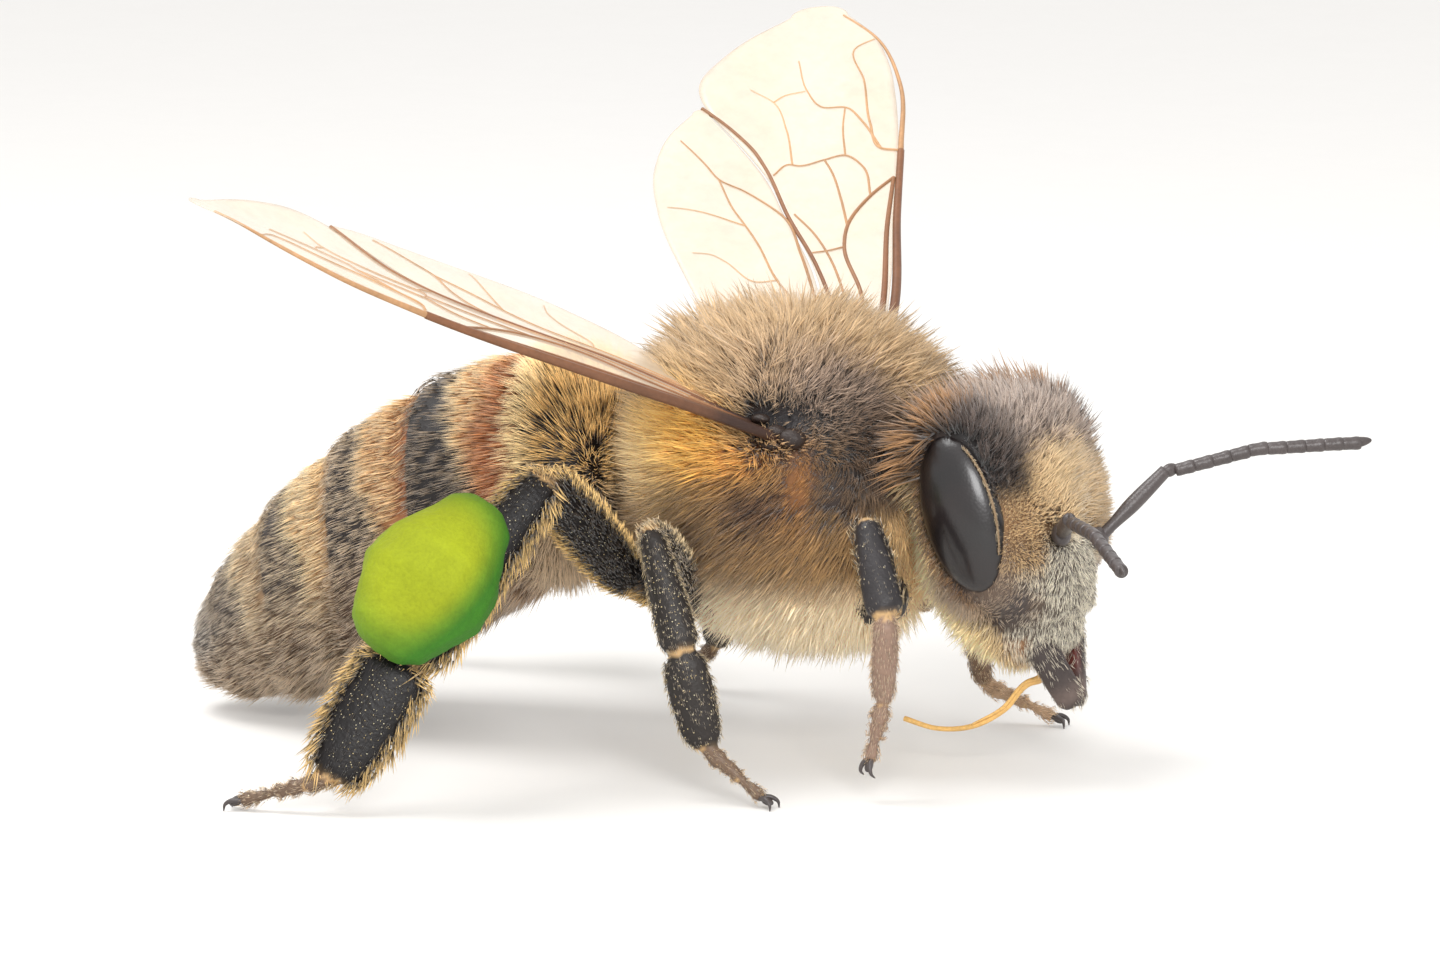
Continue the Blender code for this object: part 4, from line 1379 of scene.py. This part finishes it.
def whip_tree():
    """Rings along a path: one ring on each of its points."""
    tree, given = open_geometry("rings along a path", ("Ring", "Object"), ("Rings", "Int"),
                                ("Girth", "Float"), ("Finish", "Material"))
    path = add(tree, "GeometryNodeMeshToCurve", {"Mesh": given["Geometry"]}).outputs[0]
    spots = add(tree, "GeometryNodeResampleCurve", {"Curve": path, "Count": given["Rings"]}).outputs[0]
    turned = facing(tree, add(tree, "GeometryNodeInputTangent").outputs[0], (0, 0, 1))
    ring = add(tree, "GeometryNodeObjectInfo", {"Object": given["Ring"]}).outputs["Geometry"]
    rings = add(tree, "GeometryNodeInstanceOnPoints", {
        "Points": spots, "Instance": ring, "Rotation": turned, "Scale": given["Girth"]}).outputs[0]
    mesh = add(tree, "GeometryNodeRealizeInstances", {"Geometry": rings}).outputs[0]
    return close_geometry(tree, mesh, given["Finish"])


RING_TREE = whip_tree()


def ring_mesh(half_length):
    """One ring of a whip, a barrel of unit girth along Z, slightly wider at its far end."""
    grid, poles = limb_grid(-half_length * UP, half_length * UP, RING_TABLE, 1.0, 1.0, AHEAD, 9, 18)
    made = form("ring", grid, poles).obj
    scene.collection.objects.unlink(made)
    return made


def slices(name, start, count):
    """Middles of a bent solid, from one end, at even steps of its length."""
    points = np.unique(points_of(name).round(3), axis=0)
    far = farthest(points, start)
    share = (points - start) @ unit(far - start) / np.linalg.norm(far - start)
    cuts = np.linspace(0, 1, count + 1)
    parts = [points[(share >= a) & (share <= b)] for a, b in zip(cuts, cuts[1:])]
    return [middle(part) for part in parts if len(part) > 5]


def tube(name, route, halves, turns=20, per_part=8):
    """A smooth tube through a route of points."""
    route = np.asarray(route, float)
    keys = along_route(route)
    halves = np.interp(np.linspace(0, 1, len(route)), np.linspace(0, 1, len(halves)), halves)
    at = np.linspace(0, keys[-1], per_part * len(route))
    line, sizes = through(keys, route, at), through(keys, halves, at)
    runs = unit(np.gradient(line, axis=0))
    across = unit(np.cross(runs, UP + AHEAD * 0.01))
    grid = oval_rows(line, across, np.cross(across, runs), sizes, sizes, sizes, turns)
    poles = [line[0] - runs[0] * sizes[0] * 0.4, line[-1] + runs[-1] * sizes[-1] * 0.4]
    return form(name, grid, poles).obj


def merged(name, parts, finish):
    """Several meshes as one piece."""
    made = joined(name, [corners_of(part) for part in parts], parts)
    for part in parts:
        bpy.data.objects.remove(part)
    return dressed(made, finish)


for side in ("left", "right"):
    names = [f"feeler_scape_{side}", f"feeler_whip_{side}"]
    elbow = meeting(*names)
    base = far_end(names[0], elbow)
    base = base + unit(base - elbow) * 0.14
    tip = far_end(names[1], elbow)
    toward_tip = unit(tip - elbow)
    to_elbow = elbow - base
    scape = tube(f"scape_{side}", [base, base + to_elbow * 0.12, base + to_elbow * 0.5, elbow],
                 [0.10, 0.085, 0.115, 0.095])
    socket = dome(f"socket_{side}", base, (eye_left, head_up, head_ahead), (0.17, 0.17, 0.13), 12, 20)
    pedicel = dome(f"pedicel_{side}", elbow + toward_tip * 0.06, (LEFT, UP, toward_tip),
                   (0.100, 0.100, 0.12), 12, 20)
    path = [elbow + toward_tip * 0.28, *slices(names[1], elbow, 5)[1:], tip]
    half_ring = along_route(path)[-1] / (RINGS - 1) / 2 / FEELER_GIRTH * 1.02
    whip = from_faces(f"whip_{side}", path, [], edges=[(k, k + 1) for k in range(len(path) - 1)])
    grown(whip, RING_TREE, {"Ring": ring_mesh(half_ring), "Rings": RINGS, "Girth": FEELER_GIRTH,
                            "Finish": shell_finish})
    cap = dome(f"whip_tip_{side}", tip, (LEFT, UP, toward_tip),
               (FEELER_GIRTH * 0.93, FEELER_GIRTH * 0.93, 0.30), 12, 18)
    in_metres(merged(f"feeler_{side}", [socket, scape, pedicel, whip, cap], shell_finish), names)


# %% [markdown]
# The jaws are a pair of short blades, broadest near the middle and tapering to the tip,
# closed under the lip. Each foot ends in two hooks with a soft pad between them. The tongue
# hangs half folded below the chin, a thin rod between two feelers of its own.

# %% Jaws, claws and tongue
JAW_TABLE = ((0.0, 0.62, 0.90), (0.15, 0.84, 1.0), (0.45, 0.86, 0.90), (0.80, 0.80, 0.74),
             (0.95, 0.68, 0.58), (1.0, 0.48, 0.35))
CLAW_ROUTE = (  # along the foot, to the side, down
    (-0.04, 0.03, 0.0), (0.07, 0.09, -0.03), (0.17, 0.13, 0.01), (0.20, 0.14, 0.09))
jaw_forms = []
for side in ("left", "right"):
    outward = eye_left * (1 if side == "left" else -1)
    points = points_of(f"jaw_{side}")
    axis, centre = long_axis(points), middle(points)
    run = (points - centre) @ axis
    root, tip = centre + axis * run.max() * 0.80, centre + axis * run.min() * 0.84
    root, tip = root + head_ahead * 0.07 - outward * 0.03, tip + head_ahead * 0.13 - outward * 0.10
    face = unit(head_ahead * 0.8 + outward)
    grid, poles = limb_grid(root, tip, JAW_TABLE, 0.26, 0.16, face, rows=30, turns=28)
    shape = form(f"jaw_shell_{side}", grid, poles)
    flat = along_skin(-axis, shape.normal)
    inner = 0.75 * step(0.1, 0.9, -shape.normal @ outward) * hump(0.42, 0.20, shape.run)
    under = paint((64, 56, 54), ((106, 44, 36), inner),
                  ((100, 86, 80), hump(0.80, 0.14, shape.run) * 0.9))
    carry(shape, hair=tone(226, 214, 192), under=under, comb=flat, reach=0.13,
          lie=unit(shape.normal * 0.4 + flat * 0.6), plenty=0.30 + 0.70 * step(0.6, 0.2, shape.run))
    jaw_forms.append(shape)
jaw_pattern = pattern("jaw_pattern", jaw_forms)
grow_coat("jaw_coat", jaw_pattern, shelves["leg"], 300, 1, 0.3, 0.1)
for side, shape in zip(("left", "right"), jaw_forms):
    in_metres(dressed(shape.obj, skin_finish), [f"jaw_{side}"])

for leg in LEGS:
    toe, claw_tip = chains[leg][4:]
    axis = unit(claw_tip - toe)
    across = unit(np.cross(axis, UP))
    down = np.cross(across, axis)
    down = -down if down[2] > 0 else down
    foot_end = toe + (claw_tip - toe) * FOOT_SHARE
    parts = [tube(f"{leg}_claw", [foot_end + axis * ahead + across * sign * aside + down * low
                                  for ahead, aside, low in CLAW_ROUTE],
                  [0.042, 0.036, 0.024, 0.008], 12, 5) for sign in (-1, 1)]
    parts.append(dome(f"{leg}_pad", foot_end + axis * 0.07 + down * 0.02, (across, down, axis),
                      (0.07, 0.05, 0.09), 10, 16))
    in_metres(merged(f"{leg}_hooks", parts, shell_finish), [f"{leg}_claws"])

tongue_finish, tree, shader = new_finish("tongue", Roughness=0.35)
grained(tree, shader, tone(214, 170, 100), 20.0, 0.3, 0.4)
mouth = head_place(0.35, 0.0, -1.7)
spine = [mouth, *slices("tongue", mouth, 6)]
parts = [tube("tongue_core", spine, [0.070, 0.060, 0.052, 0.046, 0.040, 0.036, 0.040], 16)]
for sign in (-1, 1):
    aside = eye_left * 0.055 * sign + UP * 0.03
    parts.append(tube(f"palp_{sign}", [point + aside for point in spine[:5]],
                      [0.045, 0.036, 0.030, 0.024, 0.012], 12))
in_metres(merged("tongue_and_palps", parts, tongue_finish), ["tongue"])


# %% [markdown]
# A wing is a film a few thousandths of a millimetre thick, held open by hollow veins. The
# solids are half a millimetre thick only because a machine must be able to hold them. Here
# each wing is a thin sheet inside its solid. Its edges are read from the solid's
# ribs, and it gets a few soft waves, because a real wing is never flat.

# %% Wing directions and film
WING_ROOT = {"right": chest + (0.55, -1.8, 0.675), "left": chest + (0.55, 1.8, 0.675)}
TIP_PLACE = (9.087, 1.28)  # along and across, of the fore wing's tip
FILM_THICKNESS = 0.018


def wing_directions(side):
    """Along the front edge, across toward the rear edge, and out of the wing."""
    root = WING_ROOT[side]
    straight = unit(farthest(points_of(f"fore_wing_{side}"), root) - root)
    rear = middle(points_of(f"hind_wing_{side}")) - root
    beside = unit(rear - straight * (rear @ straight))
    slant = math.atan2(TIP_PLACE[1], TIP_PLACE[0])
    along = straight * math.cos(slant) - beside * math.sin(slant)
    across = straight * math.sin(slant) + beside * math.cos(slant)
    out = np.cross(along, across)
    return along, across, out if out[2] > 0 else -out


def ribs_of_wing(name, root, along, across):
    """Places along, with the front and the rear edge of the solid at each."""
    offset = points_of(name) - root
    run, aside = offset @ along, offset @ across
    rows, last = [], None
    for key in np.unique(run.round(2)):
        if last is None or key - last > 0.08:
            near = np.abs(run - key) < 0.05
            rows.append((run[near].mean(), aside[near].min(), aside[near].max()))
            last = key
    return np.array(rows)


def wing_point(side, run, aside):
    """A point of the gently waved wing surface."""
    along, across, out = wing_axes[side]
    wave = 0.05 * np.sin(run * 0.9) + 0.06 * np.sin(aside * 2.4 + 0.4) * step(0.8, 3.5, run)
    return WING_ROOT[side] + run[..., None] * along + aside[..., None] * across + wave[..., None] * out


wing_axes = {side: wing_directions(side) for side in ("right", "left")}
film_finish, tree, shader = new_finish("wing film", Roughness=0.28, Specular_IOR_Level=0.5)
grained(tree, shader, tone(214, 197, 174), 5.0, 0.10, 0.25, 0.00004)
place = add(tree, "ShaderNodeTexCoord").outputs["Object"]
veil = add(tree, "ShaderNodeMapRange", {"Value": noise(tree, place, 900.0, 3.0), "From Min": 0.3,
                                        "From Max": 0.7, "To Min": 0.38, "To Max": 0.54})
tree.links.new(veil.outputs["Result"], shader.inputs["Alpha"])


def wing_film(name, side):
    """A thin closed sheet between the two edges of a wing solid."""
    along, across, _ = wing_axes[side]
    ribs = ribs_of_wing(name, WING_ROOT[side], along, across)
    tip_at = ribs[-1, 0]
    body = ribs[:-1] if ribs[-1, 2] - ribs[-1, 1] < 0.2 else ribs
    body = body[body[:, 2] - body[:, 1] > 0.15]
    last_at, last_front, last_rear = body[-1]
    rows = np.linspace(body[0, 0], last_at, 70)
    front, rear = through(body[:, 0], body[:, 1:], rows).T
    bend = np.linspace(0, 1, 8)[1:] * math.pi / 2
    half = (last_rear - last_front) / 2 * np.cos(bend)
    centre = (last_rear + last_front) / 2
    rows = np.append(rows, last_at + (tip_at - last_at) * np.sin(bend))
    front, rear = np.append(front, centre - half), np.append(rear, centre + half)
    share = np.linspace(0, 1, 25)
    aside = front[:, None] * (1 - share) + rear[:, None] * share
    grid = wing_point(side, np.broadcast_to(rows[:, None], aside.shape), aside)
    count = len(share)
    starts = [r * count + c for r in range(len(rows) - 1) for c in range(count - 1)]
    faces = [(a, a + 1, a + count + 1, a + count) for a in starts]
    made = from_faces(f"film_{name}", grid.reshape(-1, 3), faces)
    wall = made.modifiers.new("thickness", "SOLIDIFY")
    wall.thickness = FILM_THICKNESS
    wall.offset = 0
    return dressed(settle(made), film_finish)


for side in ("right", "left"):
    for name in (f"fore_wing_{side}", f"hind_wing_{side}"):
        in_metres(wing_film(name, side), [name])


# %% [markdown]
# The veins make the pattern by which a honey bee is known: a thick front rib, a long
# narrow marginal cell, three small cells behind it. They are given as short runs of
# (along, across) points, the same for both wings, so left and right mirror each other.
# Geometry Nodes turn the runs into tapering tubes.

# %% Veins
VEINS = (  # girth at the start and the end, darkness, then the run
    (0.085, 0.055, 1.0, ((0.05, 0.10), (0.9, -0.06), (2.06, -0.19), (4.33, -0.13), (5.79, -0.12))),
    (0.045, 0.016, 0.6, ((5.79, -0.12), (7.27, -0.04), (8.18, 0.30), (8.83, 0.91))),
    (0.060, 0.032, 0.9, ((0.05, 0.22), (0.9, 0.08), (2.06, -0.02), (4.1, 0.0), (5.15, -0.04))),
    (0.024, 0.012, 0.5, ((5.79, -0.11), (5.78, 0.18), (6.32, 0.37), (7.27, 0.51), (8.02, 0.68),
                         (8.25, 0.40))),
    (0.022, 0.012, 0.5, ((5.78, 0.18), (6.37, 0.5), (6.66, 0.73), (6.71, 1.12), (7.1, 1.37),
                         (7.8, 1.54))),
    (0.028, 0.034, 0.8, ((5.15, -0.04), (4.66, 0.28), (3.91, 0.59), (3.41, 0.61), (2.33, 0.30),
                         (1.0, 0.20), (0.1, 0.25))),
    (0.020, 0.018, 0.6, ((3.41, 0.61), (3.33, 0.84), (3.30, 1.08))),
    (0.022, 0.018, 0.6, ((3.91, 0.59), (4.56, 0.72), (5.28, 0.92), (5.5, 1.02))),
    (0.020, 0.018, 0.6, ((4.66, 0.28), (5.34, 0.44), (5.58, 0.71), (5.5, 1.02), (5.4, 1.4),
                         (5.44, 1.56), (5.19, 1.77))),
    (0.018, 0.010, 0.4, ((5.44, 1.5), (6.25, 1.64), (6.85, 1.87), (7.09, 2.24))),
    (0.015, 0.012, 0.4, ((6.85, 1.87), (7.0, 1.72), (7.1, 1.4))),
    (0.018, 0.014, 0.5, ((5.58, 0.71), (6.27, 0.78), (6.66, 0.77))),
    (0.034, 0.030, 0.9, ((0.1, 0.35), (1.2, 0.52), (2.37, 0.80), (3.02, 1.01), (4.21, 1.49),
                         (5.36, 1.91), (5.7, 2.09), (6.09, 2.43), (6.53, 2.94))),
    (0.026, 0.018, 0.6, ((0.1, 0.30), (1.2, 0.36), (2.37, 0.57), (3.21, 0.83), (3.78, 1.09),
                         (4.26, 1.4))),
    # the hind wing
    (0.030, 0.014, 0.6, ((1.0, 0.72), (2.41, 1.02), (3.3, 1.25), (4.21, 1.56), (4.49, 1.82),
                         (4.77, 2.19), (4.96, 2.58), (5.25, 2.79), (5.78, 3.21))),
    (0.016, 0.022, 0.5, ((4.96, 2.58), (4.29, 2.31), (4.0, 2.14), (3.58, 1.92), (2.73, 1.59),
                         (2.0, 1.20), (1.1, 0.85))),
    (0.016, 0.010, 0.4, ((3.96, 2.13), (4.14, 2.75), (4.22, 3.30))),
    (0.014, 0.010, 0.4, ((2.68, 1.59), (2.63, 1.86), (3.05, 2.36), (3.16, 2.55), (3.16, 2.85))),
)
vein_finish, tree, shader = new_finish("wing vein", Roughness=0.45, Specular_IOR_Level=0.4)
brown = ramp(tree, named(tree, "depth"), (0.2, (192, 150, 106)), (1.0, (52, 32, 24)),
             (0.75, (120, 78, 50)))
grained(tree, shader, brown, 14.0, 0.25, 0.2)


def vein_tree():
    """Runs of edges as tapering round tubes."""
    tree, given = open_geometry("veins from runs", ("Finish", "Material"))
    runs = add(tree, "GeometryNodeMeshToCurve", {"Mesh": given["Geometry"]}).outputs[0]
    girth = add(tree, "GeometryNodeInputNamedAttribute", {"Name": "girth"}, data_type="FLOAT")
    ring = add(tree, "GeometryNodeCurvePrimitiveCircle", {"Resolution": 8, "Radius": 1.0},
               mode="RADIUS").outputs[0]
    tubes = add(tree, "GeometryNodeCurveToMesh", {
        "Curve": runs, "Profile Curve": ring, "Scale": girth.outputs["Attribute"],
        "Fill Caps": True}).outputs[0]
    tubes = add(tree, "GeometryNodeRealizeInstances", {"Geometry": tubes}).outputs[0]
    return close_geometry(tree, tubes, given["Finish"])


VEIN_TREE = vein_tree()
for side in ("right", "left"):
    places, edges, girths, depths = [], [], [], []
    for start_girth, end_girth, dark, run in VEINS:
        keys = along_route(run)
        at = np.linspace(0, keys[-1], 8 * len(run))
        line = through(keys, run, at)
        edges += [(len(girths) + k, len(girths) + k + 1) for k in range(len(at) - 1)]
        places.append(wing_point(side, line[:, 0], line[:, 1]))
        girths += list(start_girth + (end_girth - start_girth) * (at / keys[-1]))
        depth = dark * (0.92 - 0.03 * line[:, 0]) + 0.5 * step(1.6, 0.2, line[:, 0])
        depths += list(np.clip(depth, 0, 1))
    veins = from_faces(f"veins_{side}", np.vstack(places), [], edges=edges)
    write_layer(veins, "girth", "FLOAT", girths)
    write_layer(veins, "depth", "FLOAT", depths)
    in_metres(dressed(grown(veins, VEIN_TREE, {"Finish": vein_finish}), vein_finish))


# %% [markdown]
# Where a wing joins the chest sit small hard plates: the tegula, a shiny shield over
# the hinge, and the knuckles that the wing turns on.

# %% Wing hinges
HINGE_PLATES = (  # ahead of the wing's root, out, above it, then the half measures
    ((0.02, 1.84, 0.10), (0.22, 0.17, 0.15)),
    ((-0.20, 1.86, 0.20), (0.15, 0.12, 0.09)),
    ((-0.44, 1.82, 0.36), (0.14, 0.10, 0.07)),
    ((-0.26, 1.90, 0.00), (0.17, 0.10, 0.08)),
)
hinge_finish, tree, shader = new_finish("wing hinge", Roughness=0.45, Specular_IOR_Level=0.35)
grained(tree, shader, tone(40, 30, 26), 20.0, 0.4, 0.8)

for side, sign in (("right", -1), ("left", 1)):
    parts = []
    for (ahead, out, above), (long, thick, high) in HINGE_PLATES:
        centre = np.array((WING_ROOT[side][0] + ahead, chest[1] + sign * (out + 0.02),
                           WING_ROOT[side][2] + above))
        parts.append(dome(f"plate_{side}", centre, (AHEAD, UP, LEFT * sign),
                          (long, high, thick), 14, 20))
    in_metres(merged(f"wing_hinge_{side}", parts, hinge_finish))


# %% [markdown]
# Each hind leg carries a load of pollen, a smooth packed lump of grains held by the
# fringe of the basket. It is lime in the middle, with painted shade in darker green
# toward its edges and its lower side.

# %% Pollen loads
POLLEN_VOXEL = 0.045
LUMP_SIZE, LUMP_HEIGHT = 0.35, 0.05
pollen_finish, tree, shader = new_finish("packed pollen", Roughness=0.75, Specular_IOR_Level=0.25)
# from the lime middle to the darker green of the painted shade
green = ramp(tree, named(tree, "rim"), (0.0, (140, 150, 22)), (1.0, (54, 110, 26)),
             (0.55, (96, 128, 26)))
grained(tree, shader, green, 18.0, 0.16, 0.6, 0.00003)

for side in ("right", "left"):
    name = f"pollen_load_{side}"
    points, corner = np.unique(points_of(name).round(4), axis=0, return_inverse=True)
    faces = [tuple(corner.ravel()[list(face.vertices)].tolist()) for face in nodes[name].data.polygons]
    load = from_faces(name + "_grains", points, [face for face in faces if len(set(face)) == 3])
    add_wrap(load, POLLEN_VOXEL, 0.6, 5)
    lumps = load.modifiers.new("lumps", "DISPLACE")
    lumps.texture = bpy.data.textures.new(name + "_lumps", "CLOUDS")
    lumps.texture.noise_scale = LUMP_SIZE
    lumps.strength = LUMP_HEIGHT
    settle(load)
    knee, ankle = chains[f"{side}_hind"][1:3]
    axis, across, _ = limb_frame(knee, ankle, face_of(f"{side}_hind"))
    places = corners_of(load)
    offset = places - middle(places)
    low = (offset @ across) * np.sign(across @ UP) * -1
    low, run = low / np.ptp(offset @ across) * 2, (offset @ axis) / np.ptp(offset @ axis) * 2
    # rim is painted shade: it grows toward the lump's edges and more on its lower side
    rim = step(0.52, 1.20, np.hypot(low, run) + 0.26 * low) + 0.22 * step(0.30, 0.95, low)
    write_layer(load, "rim", "FLOAT", np.clip(rim, 0, 1))
    in_metres(dressed(load, pollen_finish), [name])


# %% [markdown]
# The floor and the light are plain: a white table that runs far back, a bright white
# sky all round, and two large soft lamps above, which give the faint shadow under the
# bee.

# %% Floor and light
floor_finish, tree, shader = new_finish("white table", Roughness=0.8, Emission_Strength=0.20,
                                        Emission_Color=(1.0, 0.985, 0.965, 1.0))
grained(tree, shader, tone(204, 202, 199), 0.4, 0.01, 0.0)
corners = [(-400, -400, 0), (400, -400, 0), (400, 400, 0), (-400, 400, 0)]
floor = from_faces("floor", corners, [(0, 1, 2, 3)], smooth=False)
floor.data.materials.append(floor_finish)
floor.data.transform(Matrix.Scale(TO_METRES, 4))
world = bpy.data.worlds.new("white room")
scene.world = world
world.use_nodes = True
sky = world.node_tree.nodes["Background"]
sky.inputs["Color"].default_value = (1.0, 1.0, 1.0, 1.0)
sky.inputs["Strength"].default_value = 1.05


def soft_lamp(name, place, watts, size):
    """A square lamp that looks at the chest from a place in millimetres around it."""
    lamp = bpy.data.objects.new(name, bpy.data.lights.new(name, "AREA"))
    lamp.data.energy = watts
    lamp.data.size = size * TO_METRES
    lamp.location = Vector(chest + place) * TO_METRES
    lamp.rotation_euler = Vector(place).to_track_quat("Z", "Y").to_euler()
    scene.collection.objects.link(lamp)


soft_lamp("high lamp", (-26.0, -8.0, 64.0), 0.037, 36.0)
soft_lamp("lamp in front", (27.0, -56.0, 32.0), 0.030, 26.0)
scene.view_settings.view_transform = "Standard"


# %% [markdown]
# The forms and patterns have done their work and go. The coats and the skin become
# metres like the other pieces, and the skin stands in for all solids of flesh.

# %% Finish
for shape in all_forms:
    bpy.data.objects.remove(shape.obj)
for made in (*leg_patterns, jaw_pattern, margin_pattern):
    bpy.data.objects.remove(made)
for coat in coats:
    in_metres(coat)
flesh = [f"{leg}_{part}" for leg in LEGS for part in LEG_PARTS[:4]]
in_metres(dressed(skin, skin_finish), ["head", "thorax", *SEGMENTS, *flesh])
